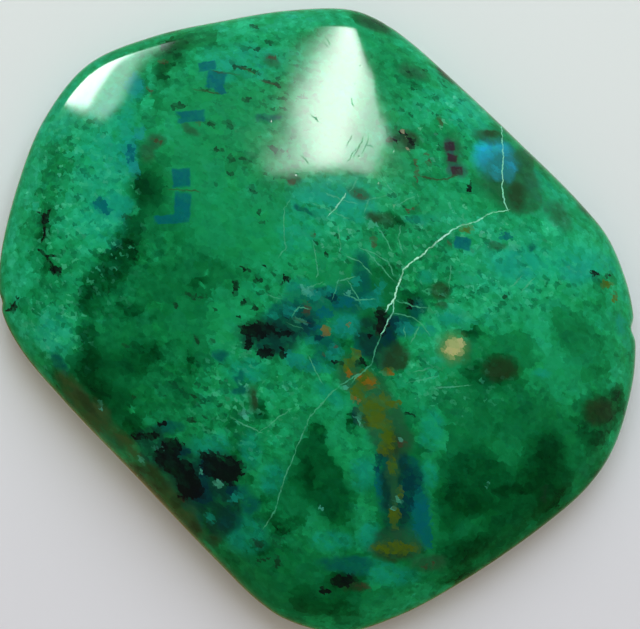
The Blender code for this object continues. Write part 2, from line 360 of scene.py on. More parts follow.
# Pools of the green ground. A depth of 0 is the darkest green and 1 is the palest mint.
POOLS = (
    # name, depth, how soft the edge is, how ragged it is, strength, marks
    ("bright zones", 0.72, 0.60, 0.6, 0.90, (
        (-19.6, 10.5, 2.4, 7.5, -8), (-15.6, 11.2, 2.5, 5.2), (-15.7, 5.8, 2.2, 2.4),
        (-21.0, 2.4, 1.3, 4.2, 8), (-18.4, -1.4, 1.7, 1.6), (-18.4, 16.5, 3.6, 3.6),
        (15.6, 4.4, 5.8, 2.5, -10), (12.6, 1.8, 3.8, 2.6), (10.4, 14.2, 2.8, 1.6, -42),
        (20.8, 3.4, 1.4, 4.0, 12), (-4.5, 20.8, 7.0, 1.1, 4), (8.4, -1.6, 2.0, 2.0),
        (2.4, 7.8, 3.4, 1.4, 6), (9.0, 7.2, 1.7, 0.9, 15), (15.2, -1.6, 0.8, 1.4),
        (6.6, 19.2, 1.8, 0.9, -40), (7.2, 14.2, 1.3, 1.3), (1.0, 5.4, 1.6, 1.2), (-2.2, 5.4, 1.2, 1.2),
        (-8.2, 20.0, 2.2, 1.0, 15), (-5.6, 17.6, 3.6, 1.7, 5), (15.9, 8.0, 1.5, 1.9, 30),
        (10.2, 10.6, 1.2, 1.6), (-1.6, 17.4, 1.6, 1.4),
    )),
    # Partly the stone's darker green and partly painted shade, most of it over the lower half of the dome,
    # whose slopes turn away from the lamp.
    ("darker ground and painted shade", 0.35, 0.85, 0.4, 0.90, (
        (-10.6, 1.0, 3.4, 4.2), (-11.0, -4.6, 3.6, 3.4), (-8.4, 2.2, 2.6, 1.8), (-12.0, 5.0, 2.6, 2.2),
        (11.2, -9.2, 4.6, 2.6), (12.4, -6.6, 4.4, 1.6), (-1.0, -18.8, 6.6, 2.6), (-4.4, -15.6, 3.4, 2.4),
        (18.2, -10.2, 2.4, 3.0), (9.6, -16.6, 4.6, 2.6), (16.6, -12.8, 3.0, 1.6, 36),
        (13.4, -14.8, 3.6, 1.4, 33), (10.4, -9.6, 2.4, 1.6), (-2.6, -12.6, 1.8, 2.0),
        (-5.2, -8.4, 1.6, 2.4), (-1.8, -4.2, 1.2, 0.8), (4.4, -16.8, 2.4, 1.6), (5.2, -11.5, 1.9, 6.4),
        (2.6, -2.6, 2.8, 2.8), (4.6, 1.6, 3.0, 2.2), (-8.6, -13.2, 2.4, 3.0, 40), (17.6, -1.6, 1.4, 1.0),
        (-17.0, -5.4, 1.4, 2.0, 40), (13.4, 9.6, 2.6, 2.4), (-14.4, 1.6, 1.9, 2.6),
        (-15.0, -4.8, 2.6, 3.2), (12.4, -4.2, 2.8, 2.0), (-5.0, -10.4, 1.6, 1.6), (-2.4, -13.2, 1.6, 1.4),
        (15.8, -9.6, 2.4, 2.2), (3.6, -15.8, 1.4, 1.4), (1.6, -13.2, 1.6, 2.2),
    )),
    ("middle lights", 0.60, 0.50, 0.8, 0.85, (
        (-5.6, -2.8, 1.6, 1.3), (-3.0, -5.4, 1.8, 1.6), (0.8, -6.2, 2.2, 1.2, -25), (6.6, -4.8, 1.6, 1.0),
        (15.6, -4.4, 1.6, 1.0), (7.6, -7.8, 1.0, 1.8), (-4.2, -10.8, 0.8, 1.6), (-2.6, -8.4, 1.6, 0.9),
        (19.2, -3.8, 1.2, 1.2), (2.6, -9.6, 1.0, 1.8), (-6.6, -0.6, 1.4, 2.0), (2.8, -14.4, 0.8, 1.8),
        (7.4, -12.2, 0.6, 2.4), (-7.2, -5.6, 1.6, 1.4), (-3.4, 4.2, 1.4, 2.4), (4.4, -18.2, 1.4, 0.8),
        (-5.0, -4.0, 1.4, 1.0), (-0.4, -15.2, 1.0, 0.5), (21.0, -0.6, 0.8, 1.8), (19.6, -0.4, 1.0, 0.8),
        (6.6, 2.8, 1.2, 1.2), (-17.9, -2.9, 0.9, 1.0),
    )),
    ("emerald middle", 0.55, 0.50, 0.5, 0.80, (
        (-4.5, 13.0, 5.0, 6.5), (-4.5, 7.2, 4.6, 3.0), (-7.6, 6.4, 2.2, 2.2), (7.8, 10.4, 3.0, 2.8),
        (7.0, 4.6, 2.2, 1.4),
    )),
    ("middle greens", 0.44, 0.40, 0.8, 0.85, (
        (-18.2, 10.8, 0.9, 2.4), (-18.9, 7.6, 0.7, 1.8), (-10.9, 7.6, 1.5, 2.1), (-11.6, 10.6, 1.0, 1.4),
        (-18.4, 2.0, 1.2, 1.6), (-10.4, 4.6, 1.6, 1.6), (-9.4, -1.0, 2.2, 1.6), (-9.4, -7.8, 2.2, 0.9),
        (-12.6, 11.2, 1.2, 1.0), (-5.4, 10.4, 1.4, 0.8), (-11.8, 15.4, 0.9, 2.4), (-8.4, 19.4, 1.6, 1.0),
        (-6.4, 16.4, 1.4, 0.9), (17.5, -12.2, 1.3, 0.9), (9.4, -6.4, 1.1, 1.8), (18.4, -1.8, 1.5, 1.2),
        (16.8, -0.2, 1.1, 0.9), (13.4, -2.3, 1.7, 0.9), (-2.4, -15.6, 1.4, 1.0), (6.4, 16.6, 1.0, 0.7),
        (-20.2, 0.6, 1.0, 0.6), (-10.4, 18.6, 1.2, 1.8), (8.2, 1.4, 0.8, 0.8), (10.8, -2.0, 0.8, 1.0),
        (19.8, 2.4, 0.8, 0.8), (12.0, 12.6, 1.6, 0.9, -35), (-20.0, 5.2, 0.9, 1.9),
        (19.2, -3.9, 1.2, 0.8), (13.0, -9.8, 1.0, 1.4),
    )),
    ("dark pools", 0.20, 0.75, 0.4, 0.92, (
        (-10.5, 18.4, 0.7, 1.2), (-10.0, 19.2, 1.2, 0.5, 12), (-10.9, 16.8, 0.5, 0.8),
        (-12.0, 8.3, 1.4, 1.6), (-13.0, 5.6, 0.9, 1.2), (-13.8, 3.6, 1.4, 1.3), (-15.0, 1.9, 1.3, 1.0),
        (-15.8, 0.7, 0.9, 1.0), (-13.0, 0.0, 0.8, 0.5), (-16.1, -1.6, 0.8, 1.0), (-15.9, -4.2, 1.3, 2.2),
        (-14.6, -6.4, 1.8, 1.4), (-13.0, -3.6, 1.6, 0.9), (-11.6, -3.0, 0.9, 0.6),
        (-13.2, -8.2, 1.2, 0.7, 40), (-9.0, -3.6, 0.5, 0.7), (-8.4, 1.8, 0.5, 0.4),
        (-0.2, -8.4, 0.8, 0.8), (-0.9, -11.2, 1.1, 1.7), (0.8, -11.6, 0.7, 1.0), (0.4, -12.4, 1.2, 1.2),
        (1.2, -13.4, 1.0, 1.3), (-0.4, -10.2, 1.1, 1.4), (19.5, -6.9, 1.7, 1.5), (19.0, -8.4, 1.1, 0.9),
        (15.7, -9.7, 1.5, 1.6), (15.0, -11.4, 1.8, 1.3), (10.7, -10.3, 1.3, 0.9), (10.2, -11.9, 2.4, 1.5),
        (15.6, -13.2, 1.6, 0.9, 35), (9.0, -13.6, 1.2, 1.6), (13.0, -13.0, 2.6, 1.3, 20),
        (16.4, -12.0, 1.2, 1.0, 30), (12.4, -15.4, 2.2, 1.0, 30), (9.4, -16.8, 1.2, 1.1),
        (9.6, -18.2, 1.4, 0.5, 28), (11.8, -11.0, 1.2, 0.8), (2.0, -18.8, 1.4, 0.9),
        (-1.0, -19.8, 1.2, 0.8), (3.8, 20.8, 1.5, 0.5, -30), (-19.2, 5.6, 0.45, 1.0),
        (-18.9, 3.2, 0.4, 0.6), (-2.8, -15.2, 0.7, 0.5), (-3.9, -16.4, 0.7, 0.6), (-3.4, -14.2, 0.4, 0.6),
        (6.2, 0.2, 0.8, 1.2), (5.0, 6.0, 0.8, 0.5), (12.0, -4.0, 1.5, 1.1), (10.6, -4.4, 0.9, 0.6),
        (20.9, -5.8, 0.5, 0.9), (1.2, -20.6, 1.6, 0.8), (-17.9, -4.6, 0.4, 1.0, 40),
        (10.3, -1.5, 0.6, 0.3), (2.2, -7.6, 0.4, 0.8), (-4.1, -7.0, 0.5, 0.9),
    )),
    ("blackish greens", 0.08, 0.75, 0.4, 0.70, (
        (-13.4, 4.0, 0.6, 0.9), (-14.3, 2.5, 0.6, 0.5), (-15.9, -3.8, 0.7, 1.4), (-15.3, -5.6, 0.7, 0.7),
        (-12.4, 8.5, 0.7, 0.9), (12.3, -4.1, 1.0, 0.7), (19.5, -6.9, 1.0, 0.9), (15.8, -9.9, 1.0, 1.1),
        (15.4, -11.3, 0.9, 0.7), (16.2, -12.9, 1.3, 0.8, 36), (10.4, -16.4, 1.3, 0.7, 28),
        (10.4, -13.4, 1.2, 0.8), (9.0, -12.6, 0.5, 0.7), (12.8, -12.2, 0.9, 0.5), (14.4, -12.2, 1.0, 0.4),
        (-1.0, -11.2, 0.5, 0.9), (1.5, -18.3, 0.8, 0.6), (-10.5, 19.1, 0.5, 0.5), (4.6, -1.4, 0.6, 0.9),
    )),
    ("mint flecks", 0.86, 0.60, 0.9, 0.55, (
        (-21.4, 3.4, 0.35, 1.6, 6), (-20.4, 8.2, 0.2, 0.9, -8), (-19.3, 13.1, 0.5, 0.5),
        (-20.5, 4.3, 0.4, 0.4), (-11.9, 16.6, 0.35, 1.2), (-12.0, 14.6, 0.4, 0.7),
        (-12.65, 7.1, 0.2, 0.4), (-18.3, -2.0, 1.1, 0.9), (-14.2, 9.4, 0.7, 0.3), (-14.6, 6.2, 0.8, 0.8),
        (-15.0, 4.4, 0.6, 0.5), (10.4, 14.7, 1.9, 0.9, -42), (12.4, 3.9, 0.6, 0.4),
        (16.4, 6.0, 0.9, 0.5, 20), (17.9, 3.0, 1.0, 0.6), (13.8, 2.6, 0.8, 0.7), (-7.8, 2.4, 0.2, 0.3),
        (-8.0, 1.6, 0.2, 0.2), (-12.9, -6.7, 0.35, 0.3), (7.3, -4.4, 0.9, 0.25, 20),
        (-6.8, -8.7, 0.6, 0.5), (5.9, 6.4, 0.5, 0.3), (10.5, 6.2, 0.8, 0.4), (-5.1, -7.2, 0.35, 0.5),
        (8.3, -9.0, 0.5, 0.6),
    )),
)

# What isn't green. Each finish is laid over the ones before it.
INCLUSIONS = (
    # name, colour, how soft the edge is, how ragged it is, strength, how patchy it is, marks
    ("light teal", (14, 140, 114), 0.70, 0.9, 0.65, 0.6, (
        (-13.5, 11.6, 0.6, 2.2), (-14.2, 7.4, 1.2, 0.8), (-13.0, 15.6, 0.5, 0.8), (0.75, 8.0, 2.0, 1.0),
        (-13.1, 11.3, 0.5, 1.3), (-12.9, 15.6, 0.7, 0.9), (-14.4, 7.0, 1.3, 0.8), (2.6, 6.9, 1.4, 0.9),
        (1.75, -1.0, 1.05, 0.8), (3.5, 0.7, 0.7, 0.6), (3.0, -11.2, 0.9, 1.2), (-3.3, -11.6, 0.8, 1.0),
        (5.0, -18.2, 1.6, 0.7), (-5.2, -4.2, 1.3, 0.8), (20.0, 3.6, 1.1, 0.7), (21.2, -0.6, 0.45, 0.7),
        (13.6, 3.4, 1.6, 0.9), (17.8, 3.0, 1.3, 0.9), (12.7, 2.8, 0.8, 0.5), (8.8, -0.6, 0.9, 0.45),
        (6.9, 6.3, 1.2, 0.35), (7.6, -8.2, 0.8, 1.3), (7.4, -11.3, 0.6, 0.8), (-7.6, -9.4, 1.4, 0.8),
        (3.0, -17.4, 1.6, 0.5), (0.8, -15.8, 1.4, 0.7), (-6.9, 16.8, 0.9, 0.9), (-1.4, 1.5, 1.0, 0.6),
        (0.6, -5.9, 1.2, 0.5, -40), (-4.8, -9.6, 0.7, 1.2), (7.3, 2.3, 0.7, 0.5), (15.3, -4.3, 0.6, 0.3),
        (-5.2, -15.4, 1.5, 1.3), (3.4, -15.6, 0.8, 1.0),
    )),
    ("blue veil", (24, 140, 132), 0.50, 0.8, 0.80, 0.2, (
        (-13.0, 16.0, 0.6, 0.8), (-12.6, 12.4, 0.4, 0.5), (-13.2, 11.0, 0.4, 1.0), (-12.8, 9.9, 0.3, 0.5),
    )),
    # Partly the stone's mint teal and partly painted highlight haze: the marks at (1.2, 8.4) and (-5.4, 17.6)
    # paint a pale haze round the tall window's highlight.
    ("mint teal and painted highlight haze", (22, 160, 126), 0.60, 0.9, 0.50, 0.8, (
        (-15.0, 10.6, 1.8, 3.6), (-14.2, 14.0, 1.2, 1.8), (-15.2, 6.2, 1.6, 1.8), (-18.6, 14.2, 1.6, 2.0),
        (-18.6, -1.6, 1.4, 1.4), (13.6, 3.2, 2.6, 1.6), (18.2, 3.6, 2.2, 1.2), (0.6, 7.6, 3.2, 1.6),
        (-1.6, 5.2, 1.4, 1.4), (1.2, 8.4, 2.4, 0.8), (-5.4, 17.6, 3.0, 1.5), (15.6, 8.8, 1.0, 1.6, 35),
        (10.4, 14.0, 2.0, 1.4, -40),
    )),
    ("deep teal", (4, 82, 74), 0.60, 0.9, 0.85, 0.30, (
        (3.0, -2.4, 0.7, 0.7), (6.4, -13.4, 1.0, 2.6), (4.4, -12.4, 0.6, 1.5), (2.8, 2.7, 0.55, 1.3),
        (1.7, 0.7, 1.9, 1.0), (-1.3, -0.4, 1.6, 1.7), (5.6, -1.2, 0.7, 0.7), (-2.8, -1.0, 1.2, 1.2),
        (-3.6, -2.3, 1.0, 0.9), (0.2, 0.8, 0.9, 0.7), (0.4, -2.6, 0.9, 0.9), (3.1, -2.5, 0.7, 0.7),
        (-3.6, 13.4, 0.9, 0.3), (-1.2, 6.8, 0.75, 0.18, -38), (-5.5, -5.6, 0.6, 0.3),
        (-5.6, -4.7, 0.3, 0.4), (5.85, -10.6, 0.6, 0.6), (4.4, -9.9, 0.4, 1.0), (6.1, -12.3, 0.8, 1.7),
        (1.85, -17.3, 1.9, 0.45), (-8.5, -11.9, 1.1, 1.5), (-6.1, -12.5, 1.2, 0.5),
        (-6.2, -14.3, 0.8, 0.8), (-10.6, -10.3, 1.2, 0.6), (14.7, 4.5, 0.35, 0.3), (2.2, -17.6, 1.2, 0.5),
        (-18.0, -3.6, 0.35, 0.8, 40), (-8.6, -14.3, 0.6, 0.7), (6.6, 0.0, 0.5, 0.8),
        (-6.8, -3.2, 0.5, 0.4), (-10.4, -8.1, 1.0, 0.4), (-4.8, -13.4, 0.6, 0.6), (-0.4, -3.8, 0.4, 0.5),
    )),
    ("blue", (2, 94, 98), 0.22, 0.7, 0.90, 0.25, (
        (4.0, -11.8, 0.3, 1.1), (6.9, -14.0, 0.65, 2.0, 8), (7.3, -15.4, 0.4, 0.9),
        (-13.2, 10.9, 0.3, 0.7), (-15.3, 7.5, 0.45, 0.35), (-14.8, 6.9, 0.3, 0.3),
        (1.4, 0.4, 0.9, 0.35, 15), (12.9, 5.2, 0.5, 0.3), (-6.6, -14.6, 0.5, 0.4), (5.6, -10.2, 0.4, 0.4),
        (0.2, -0.4, 0.5, 0.4), (-0.6, -1.4, 0.6, 0.3, 20), (-7.0, 15.5, 0.4, 0.3),
    )),
    ("bright blue", (28, 184, 222), 0.85, 0.4, 1.0, 0.0, (
        (12.3, 10.9, 1.5, 1.4), (12.9, 10.1, 0.8, 1.0),
    )),
    ("cluster shade", (10, 50, 42), 0.60, 0.9, 0.85, 0.3, (
        (3.6, -2.2, 0.9, 1.0), (4.4, -3.2, 1.1, 0.9), (5.2, -14.4, 0.9, 1.3), (5.0, -9.4, 1.1, 1.0),
        (5.6, -10.8, 0.6, 0.8), (-11.4, -9.6, 1.2, 1.3), (-10.0, -10.6, 1.6, 1.4),
        (-8.8, -12.3, 1.5, 1.6), (-7.0, -11.0, 1.5, 1.2), (-6.9, -13.0, 1.4, 0.9),
        (-7.2, -14.6, 0.9, 1.1), (4.4, -1.6, 0.8, 1.2), (-4.2, -1.8, 1.5, 1.0), (-1.8, -1.1, 1.4, 1.1),
        (4.8, -12.0, 0.8, 1.4), (4.6, -15.9, 0.9, 0.8), (-2.9, -2.6, 1.2, 0.7), (3.2, -1.4, 0.8, 1.0),
        (-10.4, -10.2, 1.2, 1.0), (-12.0, -8.6, 0.9, 0.5), (-6.6, -14.0, 1.0, 1.0),
    )),
    ("navy", (4, 48, 58), 0.50, 1.0, 0.85, 0.3, (
        (5.9, -13.2, 0.45, 0.9), (6.3, -11.7, 0.65, 0.9), (3.9, -10.6, 0.25, 0.6), (2.4, -7.3, 0.3, 0.6),
        (-2.0, -0.2, 0.6, 0.5), (-1.0, -0.9, 0.5, 0.4), (0.7, 0.9, 0.55, 0.3), (4.5, -1.9, 0.5, 0.6),
        (-8.0, -12.7, 0.75, 0.65), (-7.9, -11.0, 0.4, 1.0), (5.1, -0.9, 0.5, 0.4),
        (-0.2, -2.0, 0.35, 0.3), (-9.5, -9.7, 0.6, 0.3), (-6.0, -12.2, 0.4, 0.4),
    )),
    ("teal shards", (16, 132, 112), 0.50, 1.0, 0.80, 0.6, (
        (1.7, -1.2, 0.9, 0.7), (3.4, 0.4, 0.7, 0.4), (0.7, 1.3, 0.7, 0.25, 15),
        (-0.5, 0.9, 0.5, 0.3, -20), (-2.1, -0.1, 0.5, 0.4), (0.0, -4.0, 0.9, 0.4),
        (-1.7, -3.6, 0.9, 0.5, -30), (5.9, -1.3, 0.7, 0.5), (1.0, -3.0, 0.5, 0.7), (-0.8, -2.3, 0.4, 0.3),
        (4.1, 1.5, 0.3, 0.5), (-3.2, -0.5, 0.4, 0.2), (7.3, -1.4, 0.6, 0.4), (2.3, 1.9, 0.3, 0.4),
        (-7.6, -14.2, 0.3, 0.4), (-5.8, -12.9, 0.5, 0.3),
    )),
    ("olive haze", (34, 86, 54), 0.60, 0.6, 0.78, 0.2, (
        (13.0, 9.8, 2.0, 2.1, -15), (14.6, 8.8, 0.9, 1.8, 25), (4.4, -8.0, 1.1, 1.6),
        (5.2, -15.9, 1.5, 0.9), (9.2, 11.2, 0.7, 1.3), (3.2, -5.4, 1.3, 0.9), (13.9, 8.1, 1.2, 1.2),
        (14.5, 10.9, 0.6, 1.3, -20), (11.8, 12.5, 1.1, 0.55), (9.3, -2.7, 1.1, 0.95),
        (8.2, 0.3, 0.5, 0.25), (12.2, 4.55, 0.6, 0.25), (3.8, 20.7, 1.4, 0.6, -25),
        (6.5, 17.0, 1.1, 0.5, -15), (4.0, 6.3, 0.9, 0.5, -20), (18.8, 7.9, 0.6, 0.6),
        (-16.8, -5.9, 0.8, 0.8), (-15.4, -7.4, 0.9, 1.1), (-14.2, -8.9, 0.8, 0.6),
        (-11.0, -12.2, 1.1, 1.0), (-9.0, -14.2, 0.7, 1.1), (-7.4, -15.7, 0.6, 0.4), (3.6, -6.9, 1.3, 1.2),
        (4.6, -7.8, 1.0, 0.9), (5.3, -9.1, 1.0, 0.9), (4.9, -10.9, 0.45, 1.2), (5.1, -12.6, 0.4, 0.7),
        (5.2, -16.3, 1.8, 0.55), (1.9, -4.3, 0.8, 1.0), (2.6, 8.0, 0.8, 0.4, -30),
        (-9.0, 12.6, 0.7, 0.3, -30), (-11.3, 11.9, 0.7, 0.5), (-1.9, 9.0, 0.5, 0.4),
        (-3.4, 17.6, 0.6, 0.5, -35), (7.6, -17.3, 1.2, 0.6), (-4.7, -6.1, 0.35, 0.9),
        (4.9, -3.4, 0.9, 0.8), (-12.0, 10.9, 0.6, 0.6), (16.8, 6.9, 0.7, 1.2, 30), (5.7, 11.9, 1.1, 0.8),
    )),
    # Painted shade and painted reflection: a dark olive band along the lower-left shoulder, where the steep
    # rim faces away from the lamps and mirrors the shadowed table.
    ("painted shoulder shade", (54, 80, 42), 0.70, 0.7, 0.85, 0.4, (
        (-17.3, -5.2, 0.6, 1.4, 42), (-15.6, -7.2, 0.9, 1.5, 45), (-13.4, -9.0, 0.5, 1.2, 45),
        (-12.3, -11.1, 0.9, 1.5, 45), (-10.7, -12.8, 0.8, 1.5, 45), (-9.0, -14.5, 0.5, 1.4, 44),
    )),
    ("olive brown", (33, 56, 30), 0.60, 0.8, 0.75, 0.3, (
        (4.9, -9.2, 0.6, 1.0), (5.2, -16.6, 1.3, 0.6), (12.4, -4.0, 1.2, 0.8), (19.5, -6.8, 1.2, 0.9),
        (5.3, -3.2, 0.8, 0.8), (-12.0, -10.9, 1.0, 0.5), (-11.0, -11.9, 0.7, 0.5, -40),
        (-9.9, -13.1, 0.4, 0.5), (-8.6, -14.9, 0.4, 0.7), (-7.3, -15.8, 0.5, 0.4),
        (-16.2, -6.2, 0.3, 1.2, 42), (13.7, 8.2, 0.6, 0.9), (2.5, -18.9, 0.8, 0.4), (5.0, -3.6, 0.7, 0.6),
        (8.1, 1.3, 0.7, 0.5), (6.1, 12.0, 0.6, 0.6), (-4.6, -6.2, 0.2, 0.6), (9.1, 17.0, 0.9, 0.3, -42),
        (3.0, -7.7, 0.4, 0.5), (12.2, 12.75, 0.7, 0.25, 5), (3.7, 6.3, 0.5, 0.3, -20),
    )),
    ("ochre", (72, 96, 14), 0.50, 1.0, 0.85, 0.45, (
        (4.3, -6.4, 0.4, 0.75), (3.3, -6.6, 0.6, 0.6), (3.9, -7.7, 0.8, 0.5), (5.2, -16.3, 1.6, 0.42),
        (1.9, -3.9, 0.45, 0.5), (5.1, -6.5, 0.35, 0.17), (3.1, -4.9, 0.65, 0.55), (4.6, -4.2, 0.35, 0.25),
        (5.4, -12.5, 0.25, 0.45), (4.9, -10.7, 0.28, 0.7), (9.95, 5.6, 0.5, 0.28), (20.1, 2.1, 0.5, 0.25),
        (20.7, 1.3, 0.2, 0.45), (17.4, 3.3, 0.25, 0.15), (2.5, -5.7, 0.5, 0.4), (2.4, -3.1, 0.3, 0.3),
        (4.6, -8.8, 0.5, 0.8), (5.1, -14.2, 0.3, 0.8), (4.3, -9.6, 0.3, 0.4),
    )),
    ("orange", (126, 88, 24), 0.50, 0.9, 0.80, 0.5, (
        (0.3, -1.5, 0.3, 0.32), (1.85, -4.3, 0.17, 0.32), (3.3, -5.1, 0.35, 0.28),
        (4.7, -4.3, 0.22, 0.16), (2.6, -4.6, 0.22, 0.22), (1.9, -1.2, 0.12, 0.16), (2.3, -6.2, 0.2, 0.2),
    )),
    ("red brown", (66, 56, 40), 0.50, 1.0, 0.70, 0.6, (
        (0.95, -2.6, 0.17, 0.17), (0.25, -3.2, 0.2, 0.2), (6.4, 7.05, 0.70, 0.12, 20),
        (6.6, 9.6, 0.10, 0.9, -4), (8.3, 13.4, 0.14, 0.35, 15), (-10.9, 17.7, 0.35, 0.2),
        (-11.9, 15.4, 0.12, 0.3), (2.75, 7.85, 0.5, 0.14, -28), (3.6, 4.8, 0.18, 0.5),
        (-9.4, -12.9, 0.17, 0.2), (8.9, 17.3, 0.4, 0.22, -45), (3.0, -18.9, 0.35, 0.2),
        (5.6, -9.2, 0.3, 0.3), (-11.3, 11.8, 0.4, 0.10, -25), (-2.0, 8.9, 0.25, 0.2),
        (-8.4, 13.0, 0.3, 0.12, -35), (-3.4, 17.9, 0.3, 0.12, -35), (-0.5, 5.0, 0.15, 0.2),
        (4.9, 11.9, 0.3, 0.22), (9.6, -2.2, 0.20, 0.10), (8.7, 4.6, 0.15, 0.2),
        (7.4, 10.6, 0.12, 0.5, 10), (-1.0, 0.1, 0.25, 0.5), (3.9, -1.2, 0.2, 0.5),
        (-2.3, 11.0, 0.15, 0.2), (7.5, -17.5, 0.6, 0.12, 15),
    )),
    ("dark specks", (18, 54, 34), 0.50, 1.2, 0.85, 0.3, (
        (-8.85, -7.6, 0.28, 0.2), (-8.6, -6.0, 0.28, 0.13), (-8.55, -2.05, 0.32, 0.17, -40),
        (-13.2, -2.5, 0.45, 0.15, -8), (-12.9, -5.9, 0.12, 0.25), (-9.95, 0.35, 0.2, 0.14),
        (-8.6, 0.9, 0.8, 0.14, -10), (-7.3, -2.3, 0.3, 0.1, 20), (-7.35, 0.1, 0.12, 0.12),
        (-7.0, -3.9, 0.12, 0.12), (-13.5, 6.5, 0.4, 0.2, -10), (12.75, 0.95, 0.2, 0.12),
        (-4.6, 20.4, 0.4, 0.2), (-3.5, 19.0, 0.42, 0.16), (-5.9, 17.3, 0.4, 0.2, -30),
        (-9.9, 14.35, 0.5, 0.22), (-5.0, 14.65, 0.38, 0.14, -12), (-7.6, 12.95, 0.35, 0.2, -40),
        (-6.3, 12.9, 0.4, 0.2, -40), (-2.6, 14.0, 0.4, 0.12, -15), (-3.2, 11.1, 0.4, 0.14, -20),
        (-7.2, 11.0, 0.25, 0.12), (-6.2, 10.5, 0.24, 0.2), (-5.0, 10.4, 0.3, 0.1), (-6.2, 9.4, 0.26, 0.2),
        (-3.75, 9.5, 0.12, 0.12), (-4.7, 8.2, 0.45, 0.17, -25), (-4.2, 6.8, 0.13, 0.3),
        (-3.9, 6.0, 0.25, 0.13), (-7.2, 8.6, 0.2, 0.08), (-5.0, 17.0, 0.8, 0.13, -26),
        (-3.3, 15.9, 0.7, 0.13, -20), (-4.6, 18.6, 0.6, 0.13, -5), (-7.8, 15.4, 0.7, 0.12, -10),
        (5.6, 12.2, 0.35, 0.2), (6.3, 11.6, 0.3, 0.3), (5.2, 11.9, 0.2, 0.3), (6.4, 16.9, 0.4, 0.15),
        (7.4, 17.2, 0.2, 0.12), (8.6, 17.6, 0.35, 0.14, -40), (4.9, 14.1, 0.2, 0.16),
        (4.1, 8.5, 0.15, 0.15), (1.6, 5.6, 0.13, 0.13), (-4.3, -16.0, 0.38, 0.24),
        (-2.95, -17.3, 0.28, 0.4), (-4.3, -17.1, 0.8, 0.09), (15.6, -12.6, 0.2, 0.6),
    )),
    ("purple shade", (48, 58, 78), 0.60, 0.6, 0.60, 0.2, (
        (9.0, 11.2, 0.4, 0.8), (9.5, 9.8, 0.7, 0.5),
    )),
    ("black", (12, 18, 18), 0.35, 1.1, 0.95, 0.15, (
        (-10.6, -9.9, 0.9, 0.6), (-9.8, -11.0, 0.9, 0.5, -20), (-8.8, -12.4, 0.8, 0.7),
        (-6.6, -11.0, 1.2, 0.7), (-4.0, -1.45, 1.05, 0.5), (-5.1, -1.45, 0.4, 0.4),
        (-4.9, -2.4, 0.35, 0.45), (-3.8, -3.0, 0.65, 0.4), (-2.4, -1.7, 0.55, 0.3),
        (4.05, -0.9, 0.5, 0.95), (6.2, 0.3, 0.25, 0.45), (2.8, -3.7, 0.45, 0.3), (1.0, -3.8, 0.45, 0.2),
        (-12.6, -8.6, 0.45, 0.25), (-11.6, -8.6, 0.5, 0.35), (-10.1, -9.3, 0.75, 0.5),
        (-10.8, -7.9, 0.4, 0.14), (-10.0, -10.6, 1.1, 0.5, -15), (-9.1, -11.5, 0.7, 0.9),
        (-9.5, -12.4, 0.3, 0.5), (-6.75, -10.7, 1.2, 0.8), (-7.9, -10.0, 0.5, 0.35),
        (-6.2, -11.6, 0.5, 0.4), (1.65, -18.5, 0.9, 0.45), (0.4, -19.2, 0.35, 0.2),
        (-18.35, 2.8, 0.45, 0.25), (-5.2, 2.7, 0.28, 0.2), (-4.35, 2.0, 0.38, 0.26, 20),
        (-2.45, 2.0, 0.36, 0.26, 30), (-3.8, 2.9, 0.15, 0.12), (-5.8, 1.5, 0.2, 0.4),
        (-5.3, 0.6, 0.18, 0.3), (-4.5, 0.0, 0.25, 0.2), (19.2, 2.9, 0.32, 0.3), (20.35, 2.75, 0.17, 0.18),
        (10.4, 8.5, 0.13, 0.42), (-0.35, 4.5, 0.15, 0.15), (6.1, -7.1, 0.45, 0.08, -5),
        (9.3, -2.6, 0.36, 0.05, -35), (-5.7, -0.5, 0.15, 0.2), (0.3, 3.9, 0.12, 0.25),
        (-2.6, -3.0, 0.2, 0.4, 30), (3.3, -1.9, 0.2, 0.2), (-19.2, 6.5, 0.3, 0.42),
        (-21.35, 0.5, 0.3, 0.3), (-21.0, 1.0, 0.12, 0.12), (5.2, 11.8, 0.22, 0.14),
        (6.3, 11.9, 0.25, 0.35), (5.7, 12.5, 0.3, 0.12),
    )),
    ("tan halo", (84, 142, 74), 0.75, 0.4, 0.75, 0.1, (
        (9.1, -2.6, 1.05, 1.0),
    )),
    ("tan spot", (172, 174, 114), 0.45, 0.3, 0.92, 0.1, (
        (9.1, -2.55, 0.66, 0.66), (9.3, -2.4, 0.36, 0.36),
    )),
    ("cream flecks", (150, 150, 120), 0.45, 0.9, 0.80, 0.3, (
        (4.95, 11.9, 0.16, 0.09), (5.9, 12.1, 0.08, 0.12), (6.2, 11.3, 0.08, 0.06),
        (5.7, 12.5, 0.06, 0.06), (3.2, 11.9, 0.1, 0.06), (2.6, 8.4, 0.12, 0.05), (5.0, 7.2, 0.05, 0.12),
        (9.0, -2.9, 0.10, 0.05),
    )),
    ("pale mint", (74, 172, 144), 0.50, 1.0, 0.60, 0.6, (
        (-1.0, 1.25, 0.5, 0.35), (1.9, 1.1, 0.3, 0.16), (-1.4, -0.8, 0.5, 0.14, -20),
        (-7.0, -11.9, 0.38, 0.28), (-8.3, -11.1, 0.14, 0.32), (-11.2, -9.4, 0.5, 0.1),
        (5.3, -13.1, 0.25, 0.18), (4.8, -13.6, 0.4, 0.1, 25), (5.45, -9.0, 0.12, 0.10),
        (13.4, 4.55, 0.45, 0.25), (-0.05, -13.6, 0.08, 0.08), (1.6, -5.3, 0.3, 0.2, 30),
        (2.6, -7.6, 0.22, 0.3), (-15.1, -6.6, 0.12, 0.35, 20), (-5.3, -7.2, 0.25, 0.34),
        (-5.1, -5.4, 0.12, 0.45, 10), (3.55, 5.8, 0.3, 0.25), (-12.3, -10.3, 0.18, 0.22),
        (11.5, -12.0, 0.14, 0.14), (22.4, -0.8, 0.3, 0.8), (5.2, 21.0, 0.25, 0.15, -35),
    )),
)

